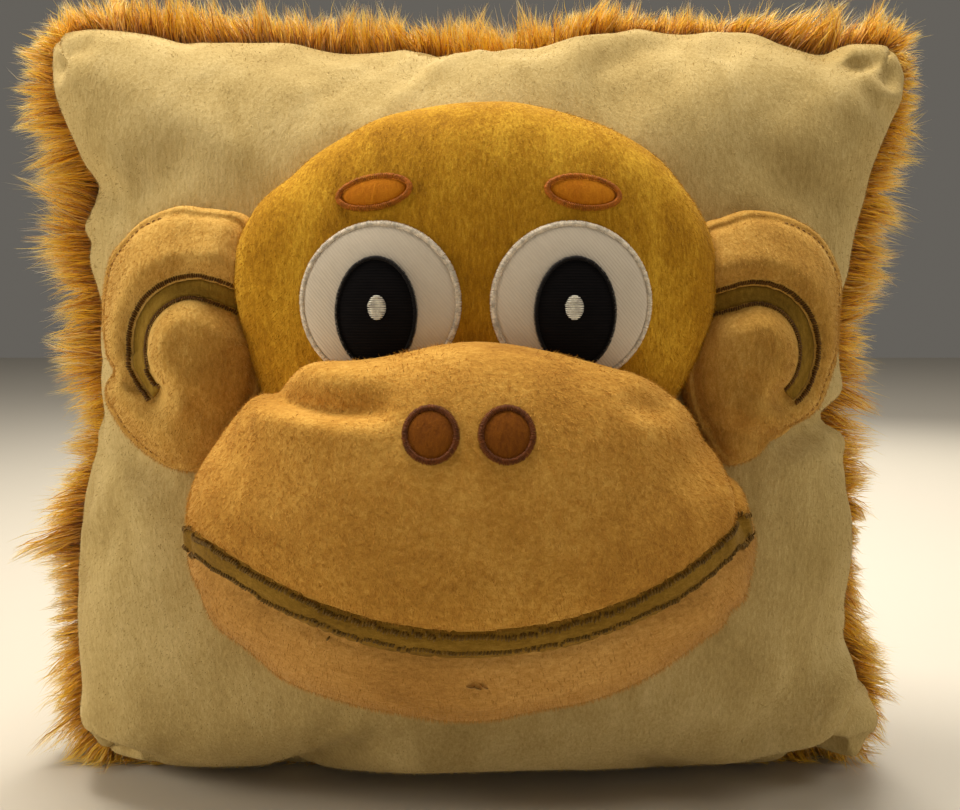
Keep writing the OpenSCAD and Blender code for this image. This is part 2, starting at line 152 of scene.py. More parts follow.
# ------------------------------------------------------------------ outlines, mm in the seam plane or on the face
CX, CZ = 0.0, 166.0
PANEL = [(-192, 316), (-191, 327), (-189, 332), (-184, 337), (-176, 340), (-167, 340), (-153, 339), (-141, 337), (-134, 334),
         (-128, 335), (-117, 334), (-99, 333), (-83, 332), (-66, 329), (-50, 328), (-30, 328), (0, 328), (27, 330), (40, 334),
         (54, 337), (67, 338), (88, 337), (108, 338), (121, 337), (132, 333), (146, 331), (158, 331), (165, 334), (174, 334),
         (182, 333), (187, 327), (191, 320), (190, 310), (186, 297), (181, 283), (178, 270), (174, 259), (170, 245), (168, 235),
         (164, 223), (163, 200), (163, 173), (167, 145), (173, 117), (172, 89), (172, 60), (179, 48), (185, 32), (187, 20),
         (180, 8), (150, 3), (101, 1), (29, -3), (0, -4), (-67, -2), (-118, 0), (-164, 1), (-177, 5), (-186, 13), (-190, 26),
         (-189, 41), (-189, 78), (-186, 109), (-183, 128), (-178, 148), (-173, 166), (-172, 191), (-172, 217), (-174, 226),
         (-176, 239), (-177, 251), (-176, 259), (-177, 270), (-178, 279), (-181, 286), (-186, 294), (-190, 306)]
panelR = radial(PANEL, CX, CZ)

# ------------------------------------------------------------------ cushion: two flat sheets sewn together and blown up
NU, NV = 84, 76


def pillow():
    u = np.linspace(-1, 1, NU + 1); v = np.linspace(-1, 1, NV + 1)
    U, V = np.meshgrid(u, v)
    w0, h0, rc = 200.0, 181.0, 26.0
    # rounded square cut pattern
    X = U * w0; Z = V * h0
    dx = np.maximum(np.abs(X) - (w0 - rc), 0); dz = np.maximum(np.abs(Z) - (h0 - rc), 0)
    m = np.maximum(dx, dz); r = np.hypot(dx, dz)
    s = np.where(r > 1e-6, m / np.maximum(r, 1e-6), 1)
    X = np.sign(X) * (np.minimum(np.abs(X), w0 - rc) + dx * s)
    Z = np.sign(Z) * (np.minimum(np.abs(Z), h0 - rc) + dz * s)
    n = (NU + 1) * (NV + 1)
    edge = (np.abs(U) > 0.999) | (np.abs(V) > 0.999)
    rng = np.random.default_rng(SEED)
    lift = 9.0 * (1 - np.abs(U)**4) * (1 - np.abs(V)**4)
    P = np.stack([X, -lift, Z], -1).reshape(-1, 3)
    Q = np.stack([X, lift, Z], -1).reshape(-1, 3)
    P[:, 1] += 0.5 * noise(P, SEED, 3, 90) * (lift.ravel() > 0)
    Q[:, 1] += 0.5 * noise(Q, SEED + 1, 3, 90) * (lift.ravel() > 0)
    e = edge.ravel()
    idx = np.full(n, -1)
    idx[~e] = n + np.arange((~e).sum())
    idx[e] = np.nonzero(e)[0]
    faces = grid_faces(NU, NV)
    back = [tuple(int(idx[k]) for k in f[::-1]) for f in grid_faces(NU, NV)]
    verts = np.concatenate([P, Q[~e]])
    return verts, faces, back, e, idx


def simulate(o, frames=40, pressure=5.0, tension=18.0, bending=0.6, pin=None, shrink=0.0, mass=0.25, damping=6.0, quality=6):
    sc = bpy.context.scene
    m = o.modifiers.new("cloth", "CLOTH")
    s = m.settings
    s.quality = quality
    s.mass = mass
    s.tension_stiffness = tension; s.compression_stiffness = tension; s.shear_stiffness = tension * 0.5
    s.bending_stiffness = bending
    s.tension_damping = damping; s.compression_damping = damping; s.shear_damping = damping; s.bending_damping = 0.8
    s.air_damping = 2.0
    s.use_pressure = True
    s.uniform_pressure_force = pressure
    s.shrink_min = shrink
    s.effector_weights.gravity = 0
    if pin is not None:
        g = o.vertex_groups.new(name="pin")
        g.add([int(i) for i in pin], 1.0, "REPLACE")
        s.vertex_group_mass = "pin"
    m.collision_settings.use_collision = False
    m.point_cache.frame_start = 1; m.point_cache.frame_end = frames
    for f in range(1, frames + 1):
        sc.frame_set(f)
    dg = bpy.context.evaluated_depsgraph_get()
    ev = o.evaluated_get(dg)
    a = np.empty(len(ev.data.vertices) * 3)
    ev.data.vertices.foreach_get("co", a)
    o.modifiers.remove(m)
    sc.frame_set(1)
    return a.reshape(-1, 3) / MM

# ------------------------------------------------------------------ cushion
def smooth_ring(vals, w):
    n = len(vals); k = np.exp(-0.5 * (np.arange(-3 * w, 3 * w + 1) / w) ** 2); k /= k.sum()
    ext = np.concatenate([vals[-3 * w:], vals, vals[:3 * w]])
    return np.convolve(ext, k, mode="valid")


def soft_floor(z, d=1.6):
    return (z + np.sqrt(z * z + d * d)) / 2


V0, F_front, F_back, E, IDX = pillow()
cushion = mesh_obj("cushion_cover", V0, list(F_front) + list(F_back))
V1 = simulate(cushion, frames=30, pressure=3.0)
nE = (NU + 1) * (NV + 1)
seam = V1[:nE][E]
st = np.degrees(np.arctan2(seam[:, 2], seam[:, 0])) % 360
so = np.argsort(st)
sr = np.hypot(seam[:, 0], seam[:, 2])[so]; st = st[so]
simR = lambda t: np.interp(t % 360, np.concatenate([st[-1:] - 360, st, st[:1] + 360]), np.concatenate([sr[-1:], sr, sr[:1]]))
V2 = V1.copy()
t = np.degrees(np.arctan2(V1[:, 2], V1[:, 0])) % 360
r = np.hypot(V1[:, 0], V1[:, 2])
rel = np.clip(r / simR(t), 0, 1.02)
k = 1 + (panelR(t) / simR(t) - 1) * rel**3 + 0.0 * rel
# even growth of the middle so that the two scales meet
g = np.mean(panelR(t) / simR(t))
k = (1 - rel**3) * g + rel**3 * (panelR(t) / simR(t))
V2[:, 0] *= k; V2[:, 2] *= k
FRONT, BACK = 72.0, 80.0
yf = -V1[:, 1]
V2[:, 1] = np.where(yf > 0, -yf * FRONT / yf.max(), yf * BACK / yf.min())
inner = np.clip(1 - rel**2, 0, 1)
V2[:, 2] -= inner * np.where(yf > 0, 7, 26)
V2[:, 2] += CZ
EYE = np.array([0, -453.6, 214.0])


def fit_outline(v, target, cz, skip=None, power=2.0):
    """widen or narrow a shape until its outline, seen from the front, has the wanted size"""
    for _ in range(3):
        k = 453.6 / (v[:, 1] - EYE[1])
        qx = v[:, 0] * k; qz = EYE[2] + (v[:, 2] - EYE[2]) * k
        t = np.degrees(np.arctan2(qz - cz, qx)) % 360
        r = np.hypot(qx, qz - cz)
        b = (t // 3).astype(int) % 120
        mx = np.zeros(120); np.maximum.at(mx, b, r)
        c = np.arange(120) * 3 + 1.5
        ratio = np.where(mx > 0, target(c) / np.maximum(mx, 1), 1.0)
        if skip is not None:
            ratio = np.where((c > skip[0]) & (c < skip[1]), 1.0, ratio)
        ratio = smooth_ring(ratio, 1)
        tv = np.degrees(np.arctan2(v[:, 2] - cz, v[:, 0])) % 360
        rv = np.hypot(v[:, 0], v[:, 2] - cz)
        rl = np.clip(rv / target(tv), 0, 1) ** power
        kk = 1 + (np.interp(tv, np.concatenate([[c[-1] - 360], c, [c[0] + 360]]), np.concatenate([ratio[-1:], ratio, ratio[:1]])) - 1) * rl
        v[:, 0] *= kk; v[:, 2] = cz + (v[:, 2] - cz) * kk
    return v


V2 = fit_outline(V2, panelR, CZ, skip=(228, 312))
lean = 0.40 * np.clip(-V2[:, 1], 0, None)
V2[:, 2] = soft_floor(V2[:, 2] - lean) + lean
V2[:, 1] += SY
set_verts(cushion, V2)


def vertex_normals(o):
    n = len(o.data.vertices)
    a = np.empty(n * 3)
    o.data.vertices.foreach_get("normal", a)
    return a.reshape(-1, 3)


def path_dist(x, z, path):
    """distance in mm from points to a polyline given in x, z, and the share along it"""
    path = np.asarray(path, float)
    best = np.full(len(x), 1e9); share = np.zeros(len(x))
    n = len(path) - 1
    for i in range(n):
        a, b = path[i], path[i + 1]
        d = b - a; L = max(d @ d, 1e-9)
        u = np.clip(((x - a[0]) * d[0] + (z - a[1]) * d[1]) / L, 0, 1)
        q = np.hypot(x - a[0] - u * d[0], z - a[1] - u * d[1])
        m = q < best
        best[m] = q[m]; share[m] = (i + u[m]) / n
    return best, share


def crease(o, path, depth, width, where=None, ridge=0.35):
    """press a soft fold into a surface along a line, with the cloth standing up a little beside it"""
    v = verts_of(o); n = vertex_normals(o)
    d, s = path_dist(v[:, 0], v[:, 2], path)
    fade = np.sin(np.clip(s, 0.001, 0.999) * math.pi) ** 0.5
    h = -depth * np.exp(-(d / width) ** 2) + ridge * depth * np.exp(-((d - 2.0 * width) / width) ** 2)
    h = h * fade
    if where is not None:
        h = h * where(v)
    set_verts(o, v + n * h[:, None])


def bake_mods(o):
    dg = bpy.context.evaluated_depsgraph_get()
    me = bpy.data.meshes.new_from_object(o.evaluated_get(dg))
    o.modifiers.clear()
    old = o.data
    o.data = me
    bpy.data.meshes.remove(old)
    me.polygons.foreach_set("use_smooth", [True] * len(me.polygons))
    return o


def subdivide(o, levels=1):
    m = o.modifiers.new("sub", "SUBSURF")
    m.levels = levels; m.render_levels = levels
    return bake_mods(o)


nf = len(F_front)
cushion.data.polygons.foreach_set("material_index", [0] * nf + [1] * (len(cushion.data.polygons) - nf))
subdivide(cushion, 1)
front_only = lambda v: (v[:, 1] < SY - 1).astype(float)
crease(cushion, [(144, 14), (164, 42), (178, 62)], 8, 7, front_only)
crease(cushion, [(104, 8), (136, 18), (176, 26)], 6, 5, front_only)
crease(cushion, [(112, 24), (134, 56), (150, 92)], 4.0, 10, front_only)
crease(cushion, [(146, 324), (162, 317), (176, 304)], 3.0, 5, front_only)
crease(cushion, [(138, 322), (156, 308), (172, 290)], 3, 6, front_only)
crease(cushion, [(-182, 24), (-160, 20), (-140, 14)], 3.0, 6, front_only)
crease(cushion, [(-180, 262), (-168, 262), (-150, 268)], 2.6, 6, front_only)
crease(cushion, [(-180, 240), (-166, 243), (-150, 240)], 1.6, 5, front_only)
crease(cushion, [(168, 60), (158, 66), (146, 66)], 2.2, 6, front_only)
crease(cushion, [(112, 162), (132, 166), (152, 169), (168, 172)], 7.0, 6, front_only)
crease(cushion, [(-120, 150), (-140, 154), (-158, 152)], 3.0, 7, front_only)
crease(cushion, [(-110, 276), (-135, 262), (-160, 256)], 2.0, 9, front_only)
crease(cushion, [(104, 276), (125, 262), (148, 254)], 2.0, 9, front_only)
crease(cushion, [(-60, 312), (-20, 306), (20, 312)], 1.6, 10, front_only)
crease(cushion, [(-70, 30), (-30, 38), (20, 30)], 1.5, 10, front_only)


class Surf:
    def __init__(self, *objs):
        self.v, self.f = [], []
        for o in objs:
            b = sum(len(x) for x in self.v)
            self.v.append(verts_of(o))
            self.f += [tuple(b + i for i in p.vertices) for p in o.data.polygons]
        self.v = np.concatenate(self.v)
        self.t = BVHTree.FromPolygons([tuple(p) for p in self.v], self.f)

    def hit(self, x, z):
        """front surface seen from -Y: depth in front of the seam plane and outward normal"""
        x = np.atleast_1d(np.asarray(x, float)); z = np.atleast_1d(np.asarray(z, float))
        f = np.full(x.shape, np.nan); n = np.zeros(x.shape + (3,)); n[..., 1] = -1
        for i in np.ndindex(x.shape):
            loc, nn, _, _ = self.t.ray_cast(Vector((x[i], SY - 400, z[i])), Vector((0, 1, 0)))
            if loc is not None:
                f[i] = SY - loc.y
                s = -1 if nn.y > 0 else 1
                n[i] = (nn.x * s, nn.y * s, nn.z * s)
        return f, n

    def snap(self, p):
        """nearest surface points and normals"""
        q = np.empty_like(p); n = np.empty_like(p)
        for i, v in enumerate(p):
            loc, nn, _, _ = self.t.find_nearest(Vector(v))
            q[i] = loc; n[i] = nn
        return q, n


panel_s = Surf(cushion)

# ------------------------------------------------------------------ stuffed pads sewn on the panel


def disc_uv(nu, nv):
    u = np.linspace(-1, 1, nu + 1); v = np.linspace(-1, 1, nv + 1)
    U, Vv = np.meshgrid(u, v)
    X = U * np.sqrt(1 - Vv**2 / 2); Y = Vv * np.sqrt(1 - U**2 / 2)
    return np.hypot(X, Y).ravel(), np.degrees(np.arctan2(Y, X)).ravel() % 360, ((np.abs(U) > 0.9999) | (np.abs(Vv) > 0.9999)).ravel()


class Pad:
    def __init__(self, name, cx, cz, outline, base, top, beta0=18, flat=1.25, sink=3.0, nu=96, nv=80, smooth=5, topf=None, inset=0.985):
        self.cx, self.cz = cx, cz
        self.R = radial(outline, cx, cz)
        self.b0 = beta0; self.flat = flat; self.top = top; self.topf = topf
        a = np.arange(360)
        rx = cx + self.R(a) * inset * np.cos(np.radians(a)); rz = cz + self.R(a) * inset * np.sin(np.radians(a))
        f, _ = base.hit(rx, rz)
        f = np.where(np.isnan(f), 0, f)
        self.rim = smooth_ring(f, smooth) - sink
        self.nu, self.nv = nu, nv
        self.rho, self.phi, self.edge = disc_uv(nu, nv)
        self.v = self.at(self.rho, self.phi)
        self.o = mesh_obj(name, self.v, grid_faces(nu, nv))

    def at(self, rho, phi):
        rho = np.asarray(rho, float); phi = np.asarray(phi, float)
        b = np.radians(-self.b0 + (90 + self.b0) * (1 - rho))
        s0 = math.sin(math.radians(self.b0))
        rf = np.cos(b)
        hf = (np.sin(b) + s0) / (1 + s0)
        hf = 1 - (1 - np.clip(hf, 0, 1)) ** self.flat
        R = self.R(phi)
        x = self.cx + R * rf * np.cos(np.radians(phi)); z = self.cz + R * rf * np.sin(np.radians(phi))
        rim = np.interp(phi % 360, np.arange(361), np.append(self.rim, self.rim[0]))
        top = self.top if self.topf is None else self.topf(x, z)
        return W(x, rim + (top - rim) * hf, z)


def closed_back(p, depth=2.0):
    """close a pad's underside with the same grid, so that it is a solid body"""
    v = verts_of(p.o)
    a = np.radians(p.phi)
    rim = np.interp(p.phi % 360, np.arange(361), np.append(p.rim, p.rim[0]))
    R = p.R(p.phi) * math.cos(math.radians(p.b0)) * p.rho
    f = p.rim.mean() + (rim - p.rim.mean()) * p.rho**2 - 1.5 * (1 - p.rho**4)
    back = W(p.cx + R * np.cos(a), f, p.cz + R * np.sin(a))
    e = p.edge
    n = len(v)
    idx = np.full(n, -1); idx[~e] = n + np.arange((~e).sum()); idx[e] = np.nonzero(e)[0]
    front = grid_faces(p.nu, p.nv)
    rear = [tuple(int(idx[k]) for k in q[::-1]) for q in front]
    name = p.o.name
    bpy.data.objects.remove(p.o)
    p.o = mesh_obj(name, np.concatenate([v, back[~e]]), front + rear)
    return p


HEAD = [(-84, 174), (-86, 185), (-90, 196), (-93, 207), (-95, 218), (-96, 230), (-94, 239), (-90, 249), (-85, 256), (-79, 261), (-73, 265),
        (-65, 272), (-52, 280), (-38, 287), (-20, 291), (0, 293), (12, 293), (24, 291), (36, 288), (48, 284), (60, 278), (70, 271),
        (78, 262), (84, 254), (89, 245), (92, 233), (92, 223), (91, 212), (88, 202), (82, 190), (74, 178), (62, 166), (36, 158),
        (0, 155), (-40, 158), (-70, 165)]
MUZZLE = [(-80, 183), (-59, 193), (-42, 196), (-27, 199), (-13, 202), (0, 203), (11, 202), (22, 200), (34, 197), (45, 194), (56, 190),
          (67, 184), (75, 177), (80, 168), (87, 160), (94, 152), (98, 144), (100, 137), (101, 126), (99, 116), (97, 109), (92, 102),
          (80, 90), (64, 79), (46, 71), (22, 66), (0, 62), (-8, 62), (-30, 65), (-53, 70), (-74, 78), (-87, 89), (-99, 101),
          (-104, 114), (-107, 120), (-108, 130), (-107, 142), (-103, 155), (-95, 167)]
HEAD = [(x * 0.965, z - 2.2 * (z > 240)) for x, z in HEAD]
head = Pad("head_cover", 0, 216, HEAD, panel_s, 104, beta0=14, flat=1.35, nu=96, nv=84)
head_s = Surf(cushion, head.o)
MUZZLE = [(x, z + 2.4 * (z < 100)) for x, z in MUZZLE]
muz = Pad("muzzle_cover", -3, 133, MUZZLE, head_s, 147, beta0=20, flat=1.14, nu=128, nv=96, smooth=7)


def eye_line(surf, pts, m):
    """smooth line through points given in the seam plane, laid on a surface as seen from the front"""
    pts = np.asarray(pts, float)
    d = np.concatenate([[0], np.cumsum(np.hypot(*np.diff(pts, axis=0).T))])
    sx = np.linspace(0, d[-1], m)
    c = [np.polyfit(d / d[-1], pts[:, i_], 5) for i_ in (0, 1)]
    out = []
    for u_ in sx / d[-1]:
        q_ = Vector((np.polyval(c[0], u_), SY, np.polyval(c[1], u_)))
        e_ = Vector((0, SY - 453.6, 214.0))
        loc, nn, _, _ = surf.t.ray_cast(e_, (q_ - e_).normalized())
        if loc is not None:
            out.append(tuple(loc))
    return np.array(out)


MOUTH = [(-135, 105), (-113, 90), (-86, 74), (-59, 64), (-32, 58), (-4, 55), (23, 58), (50, 64), (78, 75), (105, 92), (124, 112)]
def groove3(o, line, depth, width, off=0.0):
    """press a surface in along a 3-D line"""
    v = verts_of(o); n = vertex_normals(o)
    from mathutils.kdtree import KDTree
    kd = KDTree(len(line))
    for i, q in enumerate(line):
        kd.insert(Vector(q), i)
    kd.balance()
    d = np.array([kd.find(Vector(q))[2] for q in v])
    h = -depth * np.exp(-((d - off) / width) ** 2)
    set_verts(o, v + n * h[:, None])


ml = eye_line(Surf(muz.o), MOUTH, 400)
groove3(muz.o, ml, 2.2, 9)
groove3(muz.o, ml, 1.8, 1.8, off=4.6)
crease(muz.o, [(88, 166), (92, 150), (91, 132)], 3.2, 3.0, lambda v: (v[:, 0] > 60).astype(float))
crease(muz.o, [(95, 160), (99, 148), (98, 134)], 2.4, 2.4, lambda v: (v[:, 0] > 60).astype(float))
crease(muz.o, [(80, 116), (90, 108), (92, 100)], 2.0, 3.0)
crease(muz.o, [(-4, 91), (-1, 90), (2, 91)], 3.4, 4.0, ridge=0.2)
crease(muz.o, [(-77, 187), (-64, 185.5), (-48, 183.5), (-28, 182.5)], 6.5, 4.2)
crease(muz.o, [(66, 180), (58, 182), (46, 184)], 2.2, 4.0)
crease(muz.o, [(-78, 186), (-79, 170), (-80, 150)], 0.8, 1.6)
crease(muz.o, [(-30, 120), (-10, 128), (12, 134)], 0.7, 3.0)

EAR_L = [(-88, 249), (-98, 252), (-106, 253), (-113, 254), (-120, 253), (-130, 249), (-138, 242), (-146, 234), (-150, 225), (-152, 215),
         (-152, 205), (-150, 197), (-146, 190), (-150, 182), (-150, 176), (-146, 171), (-139, 163), (-130, 156), (-121, 152), (-111, 151),
         (-100, 154), (-90, 166), (-82, 182), (-80, 200), (-82, 220), (-84, 238)]
EAR_R = [(84, 246), (92, 249), (101, 252), (109, 252), (119, 250), (131, 244), (138, 236), (143, 226), (144, 219), (143, 205), (140, 193),
         (135, 182), (131, 174), (124, 168), (112, 161), (104, 157), (95, 154), (86, 163), (78, 180), (77, 200), (79, 225), (80, 238)]


def ear(name, outline, cx, cz, band):
    R = radial(outline, cx, cz)
    nu, nv = 72, 84
    rho, phi, edge = disc_uv(nu, nv)
    x = cx + R(phi) * rho * np.cos(np.radians(phi)); z = cz + R(phi) * rho * np.sin(np.radians(phi))
    f, _ = panel_s.hit(x, z)
    f = np.where(np.isnan(f), 20, f)
    # smooth the support
    F = f.reshape(nv + 1, nu + 1)
    for _ in range(12):
        G = F.copy()
        G[1:-1, 1:-1] = (F[:-2, 1:-1] + F[2:, 1:-1] + F[1:-1, :-2] + F[1:-1, 2:]) / 4
        F = np.maximum(G, F - 0.2)
    f = F.ravel() + 1.5
    d = (1 - rho) * R(phi)                       # distance from the edge
    T = 3.0 + 19.0 * (1 - np.clip(rho, 0, 1) ** 2.8) ** 0.72
    T += -1.5 * np.exp(-((d - 4.0) / 1.3) ** 2) + 1.0 * np.exp(-((d - 1.8) / 1.6) ** 2)
    q, _s = path_dist(x, z, band)
    T += -8.5 * np.exp(-(q / 7.2) ** 2) + 1.6 * np.exp(-((q - 12) / 5.0) ** 2)
    T += 1.1 * noise(np.stack([x, f, z], -1), SEED + int(abs(cx)), 2, 45)
    top = W(x, f + T, z)
    # rounded edge: pull the rim of the front down to the back
    bot = W(x, f - 0.4 * (1 - rho**6), z)
    n = len(top)
    v = np.concatenate([top, bot[~edge]])
    idx = np.full(n, -1); idx[~edge] = n + np.arange((~edge).sum()); idx[edge] = np.nonzero(edge)[0]
    v[:n][edge] = (W(x, f + 1.2, z))[edge]
    faces = grid_faces(nu, nv)
    back = [tuple(int(idx[k]) for k in q_[::-1]) for q_ in faces]
    o = mesh_obj(name, v, faces + back)
    subdivide(o, 1)
    return o


def arc_path(cx, cz, a, b, t0, t1, n=60):
    t = np.radians(np.linspace(t0, t1, n))
    return np.stack([cx + a * np.cos(t), cz + b * np.sin(t)], -1)


BAND_L = np.concatenate([[(-84, 212.5), (-91, 217)], arc_path(-106.5, 198.8, 22.0, 23.0, 66, 226)])
BAND_R = np.concatenate([[(79, 211), (86, 215.5)], arc_path(102.3, 197.8, 20.6, 21.8, 112, -48)])
BAND_W = 7.6
ear_l = ear("ear_left_cover", EAR_L, -117, 203, BAND_L)
ear_r = ear("ear_right_cover", EAR_R, 111, 204, BAND_R)
crease(ear_r, [(84, 170), (100, 167), (113, 164.5), (128, 169)], 2.6, 4.0, front_only)
crease(ear_r, [(92, 190), (104, 182), (118, 180)], 1.2, 4.0, front_only)
crease(ear_l, [(-146, 189), (-136, 187), (-124, 183)], 2.4, 4.0, front_only)
crease(ear_l, [(-128, 168), (-116, 172), (-104, 170)], 1.8, 5.0, front_only)
crease(ear_l, [(-112, 186), (-104, 178), (-98, 172)], 1.6, 4.0, front_only)

# ------------------------------------------------------------------ trimmings


def ribbon(name, surf, line, side, width, lift=0.5, puff=0.8, cols=8, mat=None, from_front=True):
    """cloth strip lying on a surface; line is 3-D, side the sideways unit vectors"""
    rows = []
    wd = np.broadcast_to(np.asarray(width, float), (len(line),))[:, None]
    for c in np.linspace(-1, 1, cols + 1):
        p = line + side * (c * wd / 2)
        q, n = surf.snap(p)
        h = lift + puff * (1 - abs(c) ** 3)
        if abs(c) == 1:
            h = -0.4
        rows.append(q + n * h)
    v = np.concatenate(rows)
    m = len(line)
    f = grid_faces(m - 1, cols)
    o = mesh_obj(name, v, f, mat)
    s = o.modifiers.new("thick", "SOLIDIFY"); s.thickness = 1.2 * MM; s.offset = 1 if False else -1
    return bake_mods(o)


def sides_of(line, surf):
    """unit vectors across a line, in the surface"""
    q, n = surf.snap(line)
    tan = np.gradient(line, axis=0)
    tan /= np.linalg.norm(tan, axis=1)[:, None]
    s = np.cross(n, tan)
    s /= np.linalg.norm(s, axis=1)[:, None]
    return q, n, tan, s


def resample(line, step):
    d = np.concatenate([[0], np.cumsum(np.linalg.norm(np.diff(line, axis=0), axis=1))])
    m = max(2, int(round(d[-1] / step)))
    s = np.linspace(0, d[-1], m + 1)
    return np.stack([np.interp(s, d, line[:, k]) for k in range(3)], -1)


def threads(name, a, b, nrm, dia, arch, mat, jitter=0.0, seed=1, seg=5, sides=5):
    """one raised thread from each point of a to the matching point of b, arched along nrm"""
    rng = np.random.default_rng(seed)
    m = len(a)
    if jitter:
        a = a + rng.normal(scale=jitter, size=a.shape); b = b + rng.normal(scale=jitter, size=b.shape)
    d = b - a
    L = np.linalg.norm(d, axis=1)[:, None]
    d = d / np.maximum(L, 1e-6)
    w = np.cross(nrm, d); w /= np.maximum(np.linalg.norm(w, axis=1)[:, None], 1e-6)
    ts = np.linspace(0, 1, seg + 1)
    V = np.empty((m, seg + 1, sides, 3))
    rr = dia / 2 * rng.uniform(0.85, 1.1, size=(m, 1))
    for j, s in enumerate(ts):
        c = a + d * L * s + nrm * (arch * (1 - (2 * s - 1) ** 2) ** 0.5 * 1.0)
        rad = rr * (0.55 + 0.45 * math.sin(math.pi * s) ** 0.4 if 0 < s < 1 else 0.5)
        for k in range(sides):
            an = 2 * math.pi * k / sides
            V[:, j, k] = c + w * rad * math.cos(an) + nrm * rad * math.sin(an)
    base = (np.arange(m) * (seg + 1) * sides)[:, None]
    F = []
    for j in range(seg):
        for k in range(sides):
            k2 = (k + 1) % sides
            F.append([j * sides + k, j * sides + k2, (j + 1) * sides + k2, (j + 1) * sides + k])
    F = np.array(F)
    faces = (F[None] + base[:, :, None]).reshape(-1, 4)
    caps = np.array([[k for k in range(sides)][::-1], [seg * sides + k for k in range(sides)]])
    capf = (caps[None] + base[:, :, None]).reshape(-1, sides)
    me = bpy.data.meshes.new(name)
    nv_ = m * (seg + 1) * sides
    me.vertices.add(nv_)
    me.vertices.foreach_set("co", (V.reshape(-1, 3) * MM).ravel())
    loops = np.concatenate([faces.ravel(), capf.ravel()])
    tot = np.concatenate([np.full(len(faces), 4), np.full(len(capf), sides)])
    me.loops.add(len(loops)); me.loops.foreach_set("vertex_index", loops.astype(np.int32))
    me.polygons.add(len(tot))
    me.polygons.foreach_set("loop_start", np.concatenate([[0], np.cumsum(tot)[:-1]]).astype(np.int32))
    me.polygons.foreach_set("loop_total", tot.astype(np.int32))
    me.polygons.foreach_set("use_smooth", np.ones(len(tot), bool))
    me.update(calc_edges=True); me.validate()
    o = bpy.data.objects.new(name, me)
    bpy.context.scene.collection.objects.link(o)
    if mat is not None:
        me.materials.append(mat)
    return o


def patch(name, surf, cx, cz, a, b, rot, lift, dome, nr=14, na=72, edge_drop=0.7):
    """flat cloth shape lying on a surface"""
    c, s = math.cos(math.radians(rot)), math.sin(math.radians(rot))
    X, Z, Rr = [cx], [cz], [0.0]
    for i in range(1, nr + 1):
        rr = (i / nr) ** 0.85
        for k in range(na):
            t = 2 * math.pi * k / na
            u, w = a * rr * math.cos(t), b * rr * math.sin(t)
            X.append(cx + u * c - w * s); Z.append(cz + u * s + w * c); Rr.append(rr)
    X, Z, Rr = np.array(X), np.array(Z), np.array(Rr)
    f, n = surf.hit(X, Z)
    h = lift + dome * (1 - Rr**2) ** 0.7
    h[Rr > 0.999] -= edge_drop
    v = W(X, f, Z) + n * h[:, None]
    faces = [(0, 1 + k, 1 + (k + 1) % na) for k in range(na)]
    for i in range(nr - 1):
        for k in range(na):
            k2 = (k + 1) % na
            faces.append((1 + i * na + k, 1 + (i + 1) * na + k, 1 + (i + 1) * na + k2, 1 + i * na + k2))
    o = mesh_obj(name, v, faces)
    m = o.modifiers.new("thick", "SOLIDIFY"); m.thickness = 1.0 * MM; m.offset = -1
    return bake_mods(o)


def ell(cx, cz, a, b, rot, t):
    c, s = math.cos(math.radians(rot)), math.sin(math.radians(rot))
    u, w = a * np.cos(t), b * np.sin(t)
    return cx + u * c - w * s, cz + u * s + w * c


def satin_ring(name, surf, cx, cz, a, b, rot, wide, pitch, lift, mat, dia=0.55, t0=0, t1=360, seed=3):
    per = math.pi * (a + b) * (t1 - t0) / 360
    m = int(per / pitch)
    t = np.radians(np.linspace(t0, t1, m, endpoint=(t1 - t0) < 359))
    x0, z0 = ell(cx, cz, a - wide, b - wide, rot, t)
    x1, z1 = ell(cx, cz, a, b, rot, t + 0.25 * pitch / max(a, b))
    f0, n0 = surf.hit(x0, z0); f1, n1 = surf.hit(x1, z1)
    A = W(x0, f0, z0) + n0 * lift; B = W(x1, f1, z1) + n1 * (lift * 0.5)
    ok = ~(np.isnan(f0) | np.isnan(f1))
    return threads(name, A[ok], B[ok], n0[ok], dia, 0.75, mat, 0.05, seed, seg=4, sides=5)


def topstitch(name, surf, line, side, out, off, pitch, wide, lift, mat, dia=0.6, seed=5, slant=0.5):
    """short threads over the edge of a strip; out is the outward direction along the line"""
    raised = line + side * off + out * 2.5
    p = resample(raised, pitch)
    near = np.array([np.argmin(np.linalg.norm(raised - p_, axis=1)) for p_ in p])
    q, n, tan, s = sides_of(p, surf)
    flip = np.where((n * out[near]).sum(1) < 0, -1.0, 1.0)[:, None]
    n = n * flip
    A = q - s * wide / 2 - tan * slant * pitch / 2 + n * lift
    B = q + s * wide / 2 + tan * slant * pitch / 2 + n * lift
    return threads(name, A, B, n, dia, 0.45, mat, 0.09, seed, seg=3, sides=5)


# ------------------------------------------------------------------ materials


def new_mat(name):
    m = bpy.data.materials.new(name); m.use_nodes = True
    return m, m.node_tree, m.node_tree.nodes["Principled BSDF"]


def N(nt, kind, attrs=None, **inputs):
    n = nt.nodes.new(kind)
    for k, v in (attrs or {}).items():
        setattr(n, k, v)
    for k, v in inputs.items():
        n.inputs[k].default_value = v
    return n


def ramp(nt, fac, stops):
    r = nt.nodes.new("ShaderNodeValToRGB")
    e = r.color_ramp.elements
    while len(e) < len(stops):
        e.new(0.5)
    for i, (p, c) in enumerate(stops):
        e[i].position = p; e[i].color = (*c, 1)
    nt.links.new(fac, r.inputs["Fac"])
    return r.outputs["Color"]


def mathn(nt, op, a, b):
    n = nt.nodes.new("ShaderNodeMath"); n.operation = op
    for i, v in enumerate((a, b)):
        if hasattr(v, "links"):
            nt.links.new(v, n.inputs[i])
        else:
            n.inputs[i].default_value = v
    return n.outputs[0]


